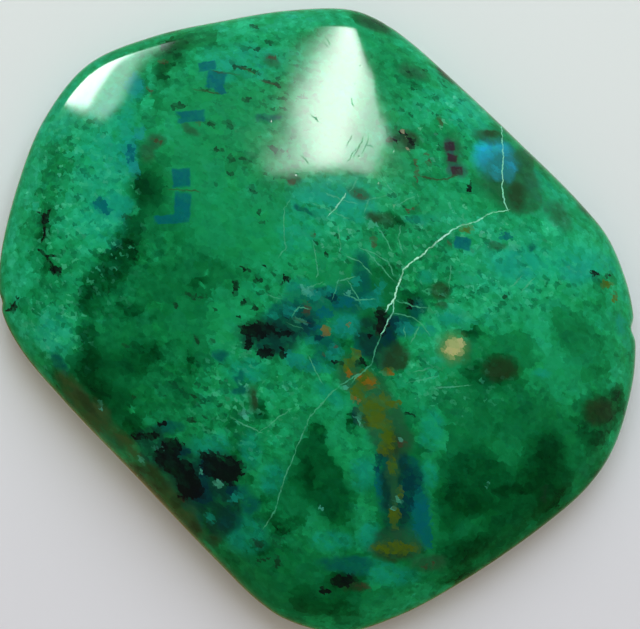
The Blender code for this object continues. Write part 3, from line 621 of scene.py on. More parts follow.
# Bars with straight sides: name, colour, softness, and (x, y, half width, half height, turn)
BARS = (
    ("blue bars", (1, 94, 100), 0.22, (
        (-9.62, 9.15, 0.60, 0.62, 2), (-9.55, 7.05, 0.56, 1.00, -4), (-10.35, 6.25, 1.05, 0.30, 5),
        (-9.0, 13.55, 0.95, 0.42, 4), (-7.3, 16.2, 0.66, 0.68, -12), (-7.9, 17.3, 0.60, 0.34, 8),
        (9.8, 4.65, 0.55, 0.42, -10),
    )),
    ("plum bars", (52, 34, 42), 0.30, (
        (9.0, 11.55, 0.36, 0.32, 10), (9.15, 10.7, 0.34, 0.30, -12), (9.5, 9.8, 0.38, 0.32, 6),
    )),
)

# Scratches that dull the polish, each from one end to the other
SCRATCHES = (
    ((0.0, 19.2), (0.6, 18.7)), ((0.4, 19.4), (0.8, 18.9)), ((1.9, 10.4), (2.4, 11.2)),
    ((2.3, 10.6), (2.9, 11.9)), ((2.9, 10.9), (3.3, 12.1)), ((1.8, 11.4), (2.1, 12.0)),
    ((3.1, 11.5), (3.6, 11.4)), ((-0.6, 13.6), (-0.2, 13.2)), ((2.2, 14.8), (2.3, 14.3)),
    ((-1.3, 10.6), (-0.9, 10.2)),
)

# Fields of flecks: name, colour, turn of the strokes, their length and width, share left bare, strength,
# and the marks that they fill
FLECKS = (
    ("dark flecks", (10, 74, 42), -24, 0.85, 0.30, 0.10, 0.80, (
        (-4.5, 13.5, 6.5, 8.0), (8.0, 13.5, 4.5, 5.0), (4.0, 5.5, 6.0, 4.0), (-3.0, 1.0, 4.5, 3.0),
        (-8.5, -6.5, 4.0, 3.0), (-3.0, -17.0, 4.0, 3.0),
    )),
    ("dark curls", (6, 92, 54), 30, 0.80, 0.38, 0.06, 0.70, (
        (-16.5, 8.0, 4.5, 9.0), (10.0, -6.0, 9.0, 5.0), (-5.0, -6.5, 4.5, 5.0), (12.0, 2.0, 8.0, 5.0),
        (4.0, -12.0, 5.0, 8.0), (-17.0, -1.0, 4.0, 4.0),
    )),
    ("pale curls", (66, 190, 140), -12, 0.80, 0.32, 0.14, 0.60, (
        (-16.5, 8.0, 4.5, 9.0), (11.0, 3.0, 8.0, 4.0), (-5.0, -6.0, 4.0, 4.5), (8.5, -5.0, 5.0, 3.0),
        (-18.0, -1.0, 3.0, 4.0), (2.0, 7.0, 4.0, 3.0),
    )),
    ("pale needles", (84, 186, 146), 52, 0.90, 0.12, 0.22, 0.60, (
        (3.5, 6.0, 6.0, 4.0), (9.5, 5.5, 5.0, 3.0), (0.5, 1.0, 3.5, 2.5), (8.0, 12.0, 3.0, 3.0),
        (-4.5, -7.0, 3.0, 3.0),
    )),
    ("feather strokes", (66, 180, 132), 14, 1.30, 0.14, 0.16, 0.60, (
        (7.5, -4.6, 3.6, 2.2), (6.5, 1.0, 3.0, 2.0), (-1.0, 0.0, 2.5, 2.0),
    )),
)

# What shows on the back: name, colour, turn of the strokes, their width and length, share left bare, strength
BACK_PATCHES = (
    ("rock on the back", (80, 74, 48), 35, 6.0, 10.0, 0.14, 0.85),
    ("teal on the back", (8, 104, 104), -20, 3.0, 5.0, 0.14, 0.70),
    ("dark veins on the back", (20, 34, 26), 60, 0.8, 7.0, 0.20, 0.85),
)
# The heights in mm between which the back's patches end, how softly a patch ends, and its strokes' detail
BACK_SKIN = (0.3, 1.2)
BACK_PATCH_EDGE = 0.14
BACK_DETAIL = 3.0

# Cracks and strands: name, colour, half width, how deep they go, strength, and the corners of each line
LINES = (
    ("hair cracks", (70, 165, 125), 0.045, 1.2, 0.75, (
        ((-2.2, 7.5), (-2.55, 7.0), (-2.55, 5.6), (-2.45, 4.2), (-2.9, 3.6)),
        ((-0.5, 4.4), (-0.35, 3.5), (-0.2, 2.5), (-0.3, 2.2)),
        ((-0.6, 7.3), (0.5, 6.9), (1.1, 6.6), (1.8, 6.3)), ((1.2, 5.6), (1.3, 4.6), (1.35, 4.0)),
        ((4.0, 5.5), (4.5, 4.8), (4.8, 4.1)), ((2.8, 4.2), (3.9, 3.7), (4.6, 3.3), (4.95, 2.5)),
        ((5.0, -0.3), (6.2, -0.5), (7.0, -1.1), (7.4, -1.7)), ((5.7, -1.3), (5.75, -1.9)),
        ((-0.8, -3.4), (-0.05, -4.9)), ((-6.0, -7.5), (-4.2, -8.4), (-2.3, -7.0)),
        (
            (1.1, -5.4), (0.35, -6.1), (-0.8, -7.45), (-1.65, -9.45), (-2.55, -11.75), (-3.1, -13.65),
            (-3.85, -14.9),
        ),
        ((4.15, -1.7), (3.85, -2.45), (3.45, -3.7), (2.8, -4.35), (2.15, -5.0)),
        ((2.8, -4.35), (1.1, -5.4)), ((6.4, -4.3), (7.6, -4.0)), ((6.2, -5.0), (7.8, -4.6)),
        ((1.9, 1.8), (2.6, 0.6)), ((8.8, 1.6), (8.9, 3.0)), ((13.2, 1.7), (13.9, 2.4)),
        ((7.8, -5.4), (10.0, -5.2)), ((2.2, 2.2), (1.2, 1.9), (0.8, 0.8)), ((5.5, 7.4), (6.4, 7.9)),
        ((2.5, 9.0), (2.1, 8.3)), ((6.7, -1.2), (6.2, -2.2)), ((14.7, 2.2), (13.9, 1.4)),
        ((-1.9, -0.4), (-1.5, 0.1), (-0.9, 0.0)), ((-2.3, -1.0), (-1.4, -1.3)), ((-1.0, 1.4), (0.0, 1.8)),
        ((1.6, 1.0), (2.5, 0.6), (3.6, 0.7)), ((2.9, 6.6), (3.3, 7.6), (4.4, 7.9)),
        ((5.2, 0.6), (6.4, 0.2), (7.2, 0.1)), ((5.6, 4.0), (5.3, 4.9), (5.5, 5.7)),
        ((1.9, 3.6), (2.6, 3.3), (3.4, 2.5)), ((-3.6, 0.9), (-2.9, 0.7)),
        ((0.4, 8.0), (1.4, 7.6), (2.4, 7.3)), ((4.0, 9.3), (5.0, 8.2)),
        ((3.2, 3.9), (3.9, 3.2), (4.8, 2.1)),
    )),
    ("bright cracks", (140, 225, 188), 0.045, 2.5, 0.9, (
        ((0.5, 6.5), (1.0, 7.0), (1.45, 7.6), (1.65, 7.95)),
        (
            (12.95, 13.6), (12.9, 12.6), (12.85, 11.0), (12.75, 10.0), (12.7, 8.8), (12.8, 7.7),
            (13.0, 7.1),
        ),
        ((13.0, 7.1), (12.0, 6.9), (11.4, 6.6), (10.5, 6.1), (9.5, 5.85), (9.2, 5.6), (8.5, 5.15)),
        ((4.95, 0.6), (4.95, -0.1), (4.5, -1.1), (4.15, -1.7)),
    )),
    ("main crack", (170, 240, 208), 0.055, 3.0, 1.0, (
        (
            (9.0, 5.5), (8.0, 4.7), (7.4, 4.2), (6.8, 3.65), (6.05, 3.15), (5.65, 2.7), (5.2, 1.45),
            (5.05, 0.8), (4.5, 0.0),
        ),
    )),
    ("black cracks", (12, 16, 14), 0.11, 0.8, 0.95, (
        ((-19.15, 7.0), (-19.3, 6.4), (-19.1, 5.5), (-19.3, 5.0)),
        ((-19.6, 7.0), (-19.1, 6.7), (-18.8, 7.1)),
        ((-19.45, 4.3), (-18.95, 3.9), (-18.7, 3.4), (-18.35, 2.7)), ((-18.95, 3.9), (-18.35, 3.85)),
        ((-21.9, 0.3), (-21.5, 0.3), (-21.2, 0.8)),
    )),
    ("brown strands", (48, 66, 40), 0.07, 0.8, 0.8, (
        ((-5.6, 17.2), (-4.6, 16.7)), ((-4.0, 16.1), (-2.9, 15.8)), ((-8.6, 15.5), (-7.2, 15.2)),
        ((7.0, 9.3), (8.2, 9.1), (9.7, 9.5)), ((-10.3, 8.35), (-8.6, 8.2)), ((-7.4, 16.9), (-5.9, 16.6)),
        ((-1.8, -0.7), (-0.9, -1.0)),
    )),
)

# Greens of the ground, from the darkest pool to the palest mint
GREENS = (
    (0.00, (0, 34, 16)),
    (0.14, (1, 62, 27)),
    (0.30, (5, 94, 47)),
    (0.46, (14, 122, 68)),
    (0.60, (20, 144, 86)),
    (0.74, (28, 161, 107)),
    (0.88, (44, 181, 132)),
    (1.00, (104, 206, 168)),
)
# The depth of the plain ground between its pools
GROUND_DEPTH = 0.58
# Where the green is even and its grains hardly show
CALM = (
    (-6.0, 5.5, 4.0, 3.0), (-7.5, 12.0, 3.5, 6.0, -10), (-8.5, 0.5, 3.5, 3.0), (15.5, -2.5, 4.5, 3.0),
    (12.5, -11.5, 7.5, 6.5), (11.0, -4.0, 3.5, 2.2), (0.0, -11.5, 2.6, 4.0), (5.2, -12.0, 2.4, 7.0),
    (-14.8, -4.6, 3.0, 3.6), (-1.0, -18.5, 6.0, 2.6), (-12.0, 7.4, 1.6, 2.4), (1.5, 0.6, 4.0, 2.6),
)
# The share of the grains' tones that is left there, and the level of a mark from which it is fully even
CALMEST = 0.45
CALM_FULL = 0.6

# How a mark is drawn: its level at its edge, how deep a pool goes in mm, and how deep any other mark goes
# against its halves together
EDGE_LEVEL = 0.30
POOL_DEPTH = 4.5
MARK_DEPTH = 1.2
# Marks softer than this follow smooth clouds, and the others follow the crystal grains
CRISPEST_SOFT = 0.54
# Marks softer than this run together where they meet
CRISPEST_MERGED = 0.3
# Each step of a line is this many times as long as the way between its corners, so that steps meet
STEP_OVERLAP = 1.2
# The stroke levels between which a gap in a patchy finish ends
GAP_EDGE = (-0.30, 0.10)

# How places are pushed about before anything is drawn on them: clouds to the mm, detail, and how far in mm
FLOW = (0.40, 1.0, 0.9)
GRAIN_FRAY = (1.6, 4.0, 0.50)
CRUMB_FRAY = (3.0, 3.0, 0.24)
DRIFT = (0.55, 2.0, 0.9)
JITTER = (1.3, 2.0, 0.28)
CLOUDING = (1.1, 3.0, 0.42)
CROOKEDNESS = (2.2, 4.0, 0.17)
# The crystal grains and their crumbs: size in mm, turn in degrees, and how many times longer than wide
GRAIN = (0.44, -28, 1.7)
CRUMB = (0.20, -40, 1.6)
# Clouds of noise: clouds to the mm, detail, size and roughness
GROUND_CLOUDS = (0.28, 3.0, 0.26, 0.6)
COARSE = (1.1, 3.0, 1.0, 0.62)
FINE = (2.2, 2.0, 1.0, 0.55)
# Strokes: turn in degrees, width and length in mm
GAPS = (-35, 0.45, 1.1)
GRAIN_STROKES = (-22, 0.50, 1.2)
CRUMB_STROKES = (58, 0.35, 0.9)
STREAK_ROUGHNESS = 0.55
# How much each of these noises deepens or lightens the green
COARSE_TONE = 0.22
GRAIN_TONE = 0.16
CRUMB_TONE = 0.13
FINE_TONE = 0.12
# How softly a fleck's stroke ends, and the levels between which a field of flecks ends
FLECK_EDGE = 0.25
FLECK_FIELD = (0.1, 0.7)
# Raggedness, strength and patchiness of the bars, and how the lines are drawn
BAR_COVER = (0.5, 0.90, 0.2)
LINE_SOFTNESS = 0.4
LINE_RAGGEDNESS = 0.7
LINE_PATCHINESS = 0.6
# Warmer and cooler clouds: clouds to the mm, detail and roughness, their swing, and the least of each colour
TINT_CLOUDS = (0.8, 3.0, 0.6)
TINT_SWING = (0.7, 0.44, 0.6)
TINT_LEAST = (0.62, 0.78, 0.70)
# How much lighter or darker the crumbs are
FINE_SHADE = 0.22

# The relief left in the polish: how close its pits lie, how big each is against the way between pits, its
# ripple (clouds to the mm, detail and size), the ripple's depth against a pit's, and a pit's depth in mm
PITS_PER_MM = 0.8
PIT_SIZE = 0.10
RIPPLE = (0.9, 3.0, 0.5)
RIPPLE_SHARE = 0.6
RELIEF_DEPTH = 0.004
# The polish's roughness, its swing from crumb to crumb, and how rough its scratches are. Widths are in mm.
POLISH_ROUGHNESS = 0.085
POLISH_SWING = 0.03
SCRATCH_HALF_WIDTH = 0.04
SCRATCH_DEPTH = 1.0
SCRATCH_EDGE = (0.1, 0.5)
SCRATCH_ROUGHNESS = 0.5
STONE_IOR = 1.5


# ---- The stone's finish ----


def noise(tree, place, scale, detail, roughness=0.5, output="Fac"):
    """Cloudy noise with a given number of clouds to the millimetre."""
    inputs = {"Vector": place, "Scale": scale, "Detail": detail, "Roughness": roughness}
    return tree.node("ShaderNodeTexNoise", inputs=inputs, noise_dimensions="3D").outputs[output]


def centred_noise(tree, place, scale, detail, size, roughness=0.5):
    """Noise that swings evenly to both sides of nothing, by about its size."""
    cloud = noise(tree, place, scale, detail, roughness)
    return tree.math("MULTIPLY_ADD", cloud, 2 * size, -size)


def step_between(tree, value, low, high, bottom=0.0, top=1.0):
    """A soft step from bottom to top, as a value goes from low to high."""
    inputs = {"Value": value, "From Min": low, "From Max": high, "To Min": bottom, "To Max": top}
    return tree.node("ShaderNodeMapRange", inputs=inputs, interpolation_type="SMOOTHSTEP").outputs["Result"]


def mixed(tree, share, under, over):
    """A number part of the way from one to another."""
    return tree.node("ShaderNodeMix", inputs={0: share, 2: under, 3: over}, data_type="FLOAT").outputs[0]


def painted(tree, share, under, over, blend="MIX"):
    """A colour laid over another."""
    inputs = {0: share, 6: under, 7: over}
    return tree.node("ShaderNodeMix", inputs=inputs, data_type="RGBA", blend_type=blend).outputs[2]


def colour_ramp(tree, amount, stops):
    """The colour for an amount, between the stops on either side of it."""
    node = tree.node("ShaderNodeValToRGB", amount)
    ramp = node.color_ramp
    while len(ramp.elements) < len(stops):
        ramp.elements.new(0.5)
    for stop, (position, colour) in zip(ramp.elements, stops):
        stop.position = position
        stop.color = linear(colour)
    return node.outputs["Color"]


def shifted(tree, place, scale, detail, size):
    """A place pushed about by noise, so that what is drawn there gets a natural outline."""
    push = tree.vector("SUBTRACT", noise(tree, place, scale, detail, output="Color"), (0.5, 0.5, 0.5))
    return tree.vector("MULTIPLY_ADD", push, (2 * size, 2 * size, 2 * size), place)


def streaks(tree, place, turn, across, along, detail=2.0):
    """Fine strokes that run one way: noise drawn out along a line."""
    inputs = {"Rotation": (0, 0, math.radians(turn)), "Scale": (along, across, (along + across) / 2)}
    drawn_out = tree.node("ShaderNodeMapping", place, inputs=inputs, vector_type="TEXTURE").outputs[0]
    return centred_noise(tree, drawn_out, 1.0, detail, 1.0, STREAK_ROUGHNESS)


def grain_middle(tree, place, size, turn, stretch):
    """The middle of the crystal grain that a place lies in, so that what is drawn there has flat facets."""
    run = {"Rotation": (0, 0, math.radians(turn)), "Scale": (stretch, 1.0, 1.0)}
    drawn_out = tree.node("ShaderNodeMapping", place, inputs=run, vector_type="TEXTURE").outputs[0]
    cells = {"Vector": drawn_out, "Scale": 1 / size}
    grains = tree.node("ShaderNodeTexVoronoi", inputs=cells, feature="F1", voronoi_dimensions="3D")
    middle = grains.outputs["Position"]
    return tree.node("ShaderNodeMapping", middle, inputs=run, vector_type="POINT").outputs[0]


def ellipse(tree, place, middle, halves, turn):
    """1 in the middle of an ellipse, falling evenly to EDGE_LEVEL at its edge and to 0 beyond."""
    node = tree.node("ShaderNodeTexGradient", place, gradient_type="SPHERICAL")
    mapping = node.texture_mapping
    mapping.vector_type = "TEXTURE"
    mapping.translation = middle
    mapping.rotation = (0, 0, math.radians(turn))
    mapping.scale = [half / (1 - EDGE_LEVEL) for half in halves]
    return node.outputs["Fac"]


def marks_field(tree, place, marks, depth=None, merged=False):
    """How strongly a family of marks covers a place. Merged marks run together where they meet."""
    field = None
    for x, y, half_x, half_y, *turn in marks:
        inward = depth or MARK_DEPTH * (half_x + half_y)
        cover = ellipse(tree, place, (x, y, dome_height(x, y)), (half_x, half_y, inward), sum(turn))
        field = cover if field is None else tree.math("ADD" if merged else "MAXIMUM", field, cover)
    return field


def lines_field(tree, place, lines, half_width, depth):
    """How strongly a family of lines covers a place. Each step of a line is one long thin ellipse."""
    field = None
    for corners in lines:
        for (x1, y1), (x2, y2) in zip(corners, corners[1:]):
            x, y = (x1 + x2) / 2, (y1 + y2) / 2
            half_length = math.hypot(x2 - x1, y2 - y1) / 2 * STEP_OVERLAP + half_width
            turn = math.degrees(math.atan2(y2 - y1, x2 - x1))
            cover = ellipse(tree, place, (x, y, dome_height(x, y)), (half_length, half_width, depth), turn)
            field = cover if field is None else tree.math("MAXIMUM", field, cover)
    return field


def bars_field(tree, place, bars):
    """How strongly straight-sided bars cover a place: EDGE_LEVEL on their sides and 1 in the middle."""
    field = None
    for x, y, half_x, half_y, turn in bars:
        inputs = {
            "Location": (x, y, dome_height(x, y)),
            "Rotation": (0, 0, math.radians(turn)),
            "Scale": (half_x, half_y, half_x + half_y),
        }
        node = tree.node("ShaderNodeMapping", place, inputs=inputs, vector_type="TEXTURE")
        along, across, inward = tree.parts(tree.vector("ABSOLUTE", node.outputs[0]))
        outward = tree.math("MAXIMUM", tree.math("MAXIMUM", along, across), inward)
        cover = tree.math("MULTIPLY_ADD", outward, EDGE_LEVEL - 1, 1.0)
        field = cover if field is None else tree.math("MAXIMUM", field, cover)
    return field


def cover_mask(tree, field, fray, softness, raggedness, strength, patchiness=0.0, gaps=None):
    """How much of a finish shows, from its field, the noise that frays its edge and the gaps in it."""
    frayed = tree.math("MULTIPLY", field, tree.math("MULTIPLY_ADD", fray, raggedness, 1.0))
    low = max(0.0, EDGE_LEVEL - softness / 2)
    share = step_between(tree, frayed, low, EDGE_LEVEL + softness / 2, 0.0, strength)
    if gaps:
        share = tree.math("MULTIPLY", share, step_between(tree, gaps, *GAP_EDGE, 1 - patchiness, 1.0))
    return share


def stone_places(tree):
    """Where on the stone a finish is drawn, each way of pushing that place about, and the noises over it."""
    own = tree.node("ShaderNodeTexCoord").outputs["Object"]
    at = SimpleNamespace(plain=tree.vector("MULTIPLY", own, (1 / MM, 1 / MM, 1 / MM)))
    at.flowing = shifted(tree, at.plain, *FLOW)
    at.grain = grain_middle(tree, shifted(tree, at.plain, *GRAIN_FRAY), *GRAIN)
    at.crumb = grain_middle(tree, shifted(tree, at.plain, *CRUMB_FRAY), *CRUMB)
    at.drifted = shifted(tree, at.grain, *DRIFT)
    at.jittered = shifted(tree, at.crumb, *JITTER)
    at.clouded = shifted(tree, at.plain, *CLOUDING)
    at.halfway = tree.scaled(tree.vector("ADD", at.grain, at.flowing), 0.5)
    at.coarse = centred_noise(tree, at.halfway, *COARSE)
    at.fine = centred_noise(tree, at.crumb, *FINE)
    at.gaps = streaks(tree, at.crumb, *GAPS)
    at.crooked = shifted(tree, at.plain, *CROOKEDNESS)
    calm = marks_field(tree, at.flowing, CALM, POOL_DEPTH)
    at.unrest = step_between(tree, calm, 0.0, CALM_FULL, 1.0, CALMEST)
    return at


def ground_depth(tree, at):
    """How deep the green is: clouds, pools, and the tones of its crystal grains."""
    depth = tree.math("ADD", centred_noise(tree, at.drifted, *GROUND_CLOUDS), GROUND_DEPTH)
    for name, level, softness, raggedness, strength, marks in POOLS:
        drawn_on = at.halfway if softness > CRISPEST_SOFT else at.drifted
        field = marks_field(tree, drawn_on, marks, POOL_DEPTH, True)
        share = cover_mask(tree, field, at.coarse, softness, raggedness, strength)
        depth = mixed(tree, share, depth, level)
    strokes = streaks(tree, at.grain, *GRAIN_STROKES)
    tones = tree.math("MULTIPLY", at.coarse, COARSE_TONE)
    tones = tree.math("MULTIPLY_ADD", strokes, GRAIN_TONE, tones)
    tones = tree.math("MULTIPLY_ADD", streaks(tree, at.crumb, *CRUMB_STROKES), CRUMB_TONE, tones)
    tones = tree.math("MULTIPLY_ADD", at.fine, FINE_TONE, tones)
    return tree.math("MULTIPLY_ADD", tones, at.unrest, depth)


def with_back_patches(tree, at, colour):
    """Rock and dark veins that show on the flat back alone, and end at its edge."""
    backward = step_between(tree, tree.parts(at.plain)["Z"], *BACK_SKIN, 1.0, 0.0)
    for name, tint, turn, across, along, bare, strength in BACK_PATCHES:
        strokes = streaks(tree, at.grain, turn, across, along, BACK_DETAIL)
        share = step_between(tree, strokes, bare, bare + BACK_PATCH_EDGE, 0.0, strength)
        colour = painted(tree, tree.math("MULTIPLY", share, backward), colour, linear(tint))
    return colour


def with_flecks(tree, at, colour):
    """Fine strokes in the green, fullest in the middle of their field."""
    for name, tint, turn, along, across, bare, strength, marks in FLECKS:
        strokes = step_between(tree, streaks(tree, at.crumb, turn, across, along), bare, bare + FLECK_EDGE)
        field = marks_field(tree, at.drifted, marks, POOL_DEPTH)
        share = tree.math("MULTIPLY", strokes, step_between(tree, field, *FLECK_FIELD, 0.0, strength))
        colour = painted(tree, tree.math("MULTIPLY", share, at.unrest), colour, linear(tint))
    return colour


def with_inclusions(tree, at, colour):
    """The teal, blue, ochre, brown, black and pale spots that lie in the green."""
    for name, tint, softness, raggedness, strength, patchiness, marks in INCLUSIONS:
        drawn_on = at.clouded if softness > CRISPEST_SOFT else at.jittered
        field = marks_field(tree, drawn_on, marks, None, softness > CRISPEST_MERGED)
        share = cover_mask(tree, field, at.fine, softness, raggedness, strength, patchiness, at.gaps)
        colour = painted(tree, share, colour, linear(tint))
    return colour


def with_bars(tree, at, colour):
    """Bars with straight sides, over the spots."""
    for name, tint, softness, bars in BARS:
        share = cover_mask(tree, bars_field(tree, at.crooked, bars), at.fine, softness, *BAR_COVER, at.gaps)
        colour = painted(tree, share, colour, linear(tint))
    return colour


def with_lines(tree, at, colour):
    """Cracks and strands, over all the rest."""
    for name, tint, half_width, line_depth, strength, lines in LINES:
        field = lines_field(tree, at.crooked, lines, half_width, line_depth)
        edge = (LINE_SOFTNESS, LINE_RAGGEDNESS, strength, LINE_PATCHINESS)
        share = cover_mask(tree, field, at.fine, *edge, at.gaps)
        colour = painted(tree, share, colour, linear(tint))
    return colour


def with_tints(tree, at, colour):
    """The colour, warmer or cooler from cloud to cloud and lighter or darker from crumb to crumb."""
    tints = noise(tree, at.drifted, *TINT_CLOUDS, "Color")
    tints = tree.vector("MULTIPLY_ADD", tints, TINT_SWING, TINT_LEAST)
    colour = painted(tree, 1.0, colour, tints, "MULTIPLY")
    shade = tree.math("MULTIPLY_ADD", tree.math("MULTIPLY", at.fine, at.unrest), FINE_SHADE, 1.0)
    return painted(tree, 1.0, colour, tree.joined(shade, shade, shade), "MULTIPLY")


def polish_relief(tree, at):
    """The small pits and faint ripple that are left in the polish."""
    pits = {"Vector": at.plain, "Scale": PITS_PER_MM}
    nearest_pit = tree.node("ShaderNodeTexVoronoi", inputs=pits, feature="F1", voronoi_dimensions="3D")
    hollow = step_between(tree, nearest_pit.outputs["Distance"], 0.0, PIT_SIZE, -1.0, 0.0)
    relief = tree.math("MULTIPLY_ADD", centred_noise(tree, at.plain, *RIPPLE), RIPPLE_SHARE, hollow)
    return tree.node("ShaderNodeBump", 1.0, RELIEF_DEPTH * MM, inputs={"Height": relief}).outputs["Normal"]


def polish_gloss(tree, at):
    """The polish, dulled along its scratches."""
    scratch = lines_field(tree, at.crooked, SCRATCHES, SCRATCH_HALF_WIDTH, SCRATCH_DEPTH)
    scratched = step_between(tree, scratch, *SCRATCH_EDGE, 0.0, SCRATCH_ROUGHNESS)
    return tree.math("ADD", tree.math("MULTIPLY_ADD", at.fine, POLISH_SWING, POLISH_ROUGHNESS), scratched)


def stone_finish():
    material = bpy.data.materials.new("polished chrysocolla")
    material.use_nodes = True
    material.node_tree.nodes.clear()
    tree = Tree(material.node_tree)
    at = stone_places(tree)
    colour = colour_ramp(tree, ground_depth(tree, at), GREENS)
    for lay in (with_back_patches, with_flecks, with_inclusions, with_bars, with_lines, with_tints):
        colour = lay(tree, at, colour)
    normal = polish_relief(tree, at)
    gloss = polish_gloss(tree, at)
    inputs = {"IOR": STONE_IOR, "Base Color": colour, "Roughness": gloss, "Normal": normal}
    surface = tree.node("ShaderNodeBsdfPrincipled", inputs=inputs)
    tree.node("ShaderNodeOutputMaterial", surface.outputs[0])
    return material


# ---- Table, light and camera ----

TABLE_SIZE = 4.0
# The table is painted lighter on its far side than on its near side. This is painted light falloff, with a
# bluer, darker near side, blended over this reach either side of the stone's middle.
FAR_TABLE_COLOUR_PAINTED_LIGHTER = (225, 230, 229)
NEAR_TABLE_COLOUR_PAINTED_DARKER = (218, 217, 222)
PAINTED_FALLOFF_REACH = 0.024
TABLE_ROUGHNESS = 0.7
TABLE_GLOSS = 0.2

CAMERA_LENS = 150.0
CAMERA_SENSOR = 36.0
CAMERA_CLIP = (0.005, 20.0)
VIEW_WIDTH = 45.13
CAMERA_AZIMUTH = -20.0
CAMERA_ELEVATION = 84.0
CAMERA_TARGET = Vector((0.11, 0.15, 2.5))

# Windows seen only in the polish: azimuth, brightness, colour, and the corners anticlockwise on an upright
# board a metre away, each with how softly the side that leaves it fades
WINDOWS = (
    ("tall window veil", 0.0, 11.5, (228, 243, 238), (
        (-0.11, 0.22, 0.04), (0.25, 0.20, 0.02), (0.45, 1.03, 0.03), (0.54, 1.75, 0.06), (0.48, 2.42, 0.08),
        (-0.27, 2.50, 0.14), (-0.15, 1.40, 0.16),
    )),
    ("tall window glare", 0.0, 10.0, (255, 255, 246), (
        (-0.11, 0.23, 0.04), (0.25, 0.22, 0.08), (0.48, 1.20, 0.24), (0.37, 2.40, 0.14), (-0.22, 2.46, 0.14),
        (-0.08, 1.30, 0.14),
    )),
    ("side window glare", -35.0, 15.5, (250, 255, 250), (
        (-0.28, 0.0, 0.01), (0.34, 0.0, 0.12), (0.14, 0.40, 0.14), (-0.08, 0.62, 0.16), (-0.22, 0.72, 0.10),
        (-0.27, 0.45, 0.03),
    )),
    ("side window veil", -35.0, 7.8, (215, 245, 240), (
        (-0.29, 0.0, 0.01), (0.42, 0.0, 0.12), (0.26, 0.66, 0.16), (0.05, 0.95, 0.14), (-0.20, 0.98, 0.08),
        (-0.28, 0.50, 0.03),
    )),
)
# How much farther out each next window stands than the one before it, in m
WINDOW_SPACING = 0.01
# What the polish shows of the dim room by height: -1 is straight down, 0 level and 1 overhead
ROOM = (
    (-1.0, (222, 232, 224)),
    (-0.92, (214, 224, 214)),
    (-0.74, (160, 172, 160)),
    (-0.50, (108, 116, 106)),
    (-0.10, (88, 90, 82)),
    (0.05, (110, 112, 110)),
    (0.40, (70, 72, 72)),
    (1.0, (22, 24, 24)),
)
# The level way to the lit side of the room, how dim and warm the other side is, and how softly it turns
LIT_SIDE = (0.45, 0.89, 0.0)
AWAY_TINT = (0.36, 0.19, 0.10, 1.0)
AWAY_TURN = 0.4
# The even glow from all round: colour and strength
GLOW = ((255, 240, 220), 0.58)
# The broad lamp: where it is, its colour, its light for a lamp one metre square, and its size
KEY_WAY = (0.15, 0.64, 0.76)
KEY_COLOUR = (216, 237, 255)
KEY_LIGHT = 2.70
KEY_SIZE = 0.95


def table():
    size = TABLE_SIZE / 2
    corners = [(-size, -size, 0), (size, -size, 0), (size, size, 0), (-size, size, 0)]
    mesh = bpy.data.meshes.new("table")
    mesh.from_pydata(corners, [], [(0, 1, 2, 3)])
    board = bpy.data.objects.new("table", mesh)
    bpy.context.scene.collection.objects.link(board)
    material = bpy.data.materials.new("pale table")
    material.use_nodes = True
    surface = material.node_tree.nodes["Principled BSDF"]
    tree = Tree(material.node_tree)
    # Painted light falloff: the near side is painted darker and the far side lighter.
    far_side = tree.parts(tree.node("ShaderNodeTexCoord").outputs["Object"])["Y"]
    painted_falloff_share = step_between(tree, far_side, -PAINTED_FALLOFF_REACH, PAINTED_FALLOFF_REACH)
    tint = painted(tree, painted_falloff_share, linear(NEAR_TABLE_COLOUR_PAINTED_DARKER), linear(FAR_TABLE_COLOUR_PAINTED_LIGHTER))
    tree.fill(surface.inputs["Base Color"], tint)
    tree.fill(surface.inputs["Roughness"], TABLE_ROUGHNESS)
    tree.fill(surface.inputs["Specular IOR Level"], TABLE_GLOSS)
    mesh.materials.append(material)
    board.visible_glossy = False


def area_light(name, size_x, size_y, middle, across, up, radiance, colour):
    """A flat lamp that shines from its middle back along across x up."""
    lamp = bpy.data.lights.new(name, "AREA")
    lamp.shape = "RECTANGLE"
    lamp.size = size_x
    lamp.size_y = size_y
    lamp.energy = radiance * size_x * size_y * math.pi
    lamp.color = linear(colour)[:3]
    light = bpy.data.objects.new(name, lamp)
    bpy.context.scene.collection.objects.link(light)
    turned = Matrix((across, up, across.cross(up))).transposed().to_4x4()
    light.matrix_world = Matrix.Translation(middle) @ turned
    light.visible_camera = False
    return light


def fade_at_sides(lamp, sides, rightward):
    """Lets a lamp shine only inside its corners, fading softly at each side."""
    lamp.use_nodes = True
    tree = Tree(lamp.node_tree)
    place = tree.node("ShaderNodeNewGeometry").outputs["Position"]
    sideways = tree.vector("DOT_PRODUCT", place, rightward)
    height = tree.parts(place)["Z"]
    strength = 1.0
    for (x1, z1, softness), (x2, z2, _) in zip(sides, sides[1:] + sides[:1]):
        length = math.hypot(x2 - x1, z2 - z1)
        inward_x, inward_z = -(z2 - z1) / length, (x2 - x1) / length
        level = tree.math("MULTIPLY_ADD", sideways, inward_x, -inward_x * x1 - inward_z * z1)
        inside = tree.math("MULTIPLY_ADD", height, inward_z, level)
        strength = tree.math("MULTIPLY", strength, step_between(tree, inside, 0.0, softness))
    tree.fill(lamp.node_tree.nodes["Emission"].inputs["Strength"], strength)


def window_lights():
    """Lamps seen only in the polish. Each stands upright about a metre from the stone."""
    up = Vector((0, 0, 1))
    for number, (name, azimuth, radiance, colour, sides) in enumerate(WINDOWS):
        turn = math.radians(azimuth)
        outward = Vector((math.sin(turn), math.cos(turn), 0))
        rightward = Vector((math.cos(turn), -math.sin(turn), 0))
        left, right = min(side[0] for side in sides), max(side[0] for side in sides)
        bottom, top = min(side[1] for side in sides), max(side[1] for side in sides)
        distance = 1 + WINDOW_SPACING * number
        middle = outward * distance + rightward * (left + right) / 2 + up * (bottom + top) / 2
        light = area_light(name, right - left, top - bottom, middle, -rightward, up, radiance, colour)
        light.visible_diffuse = False
        fade_at_sides(light.data, sides, rightward)


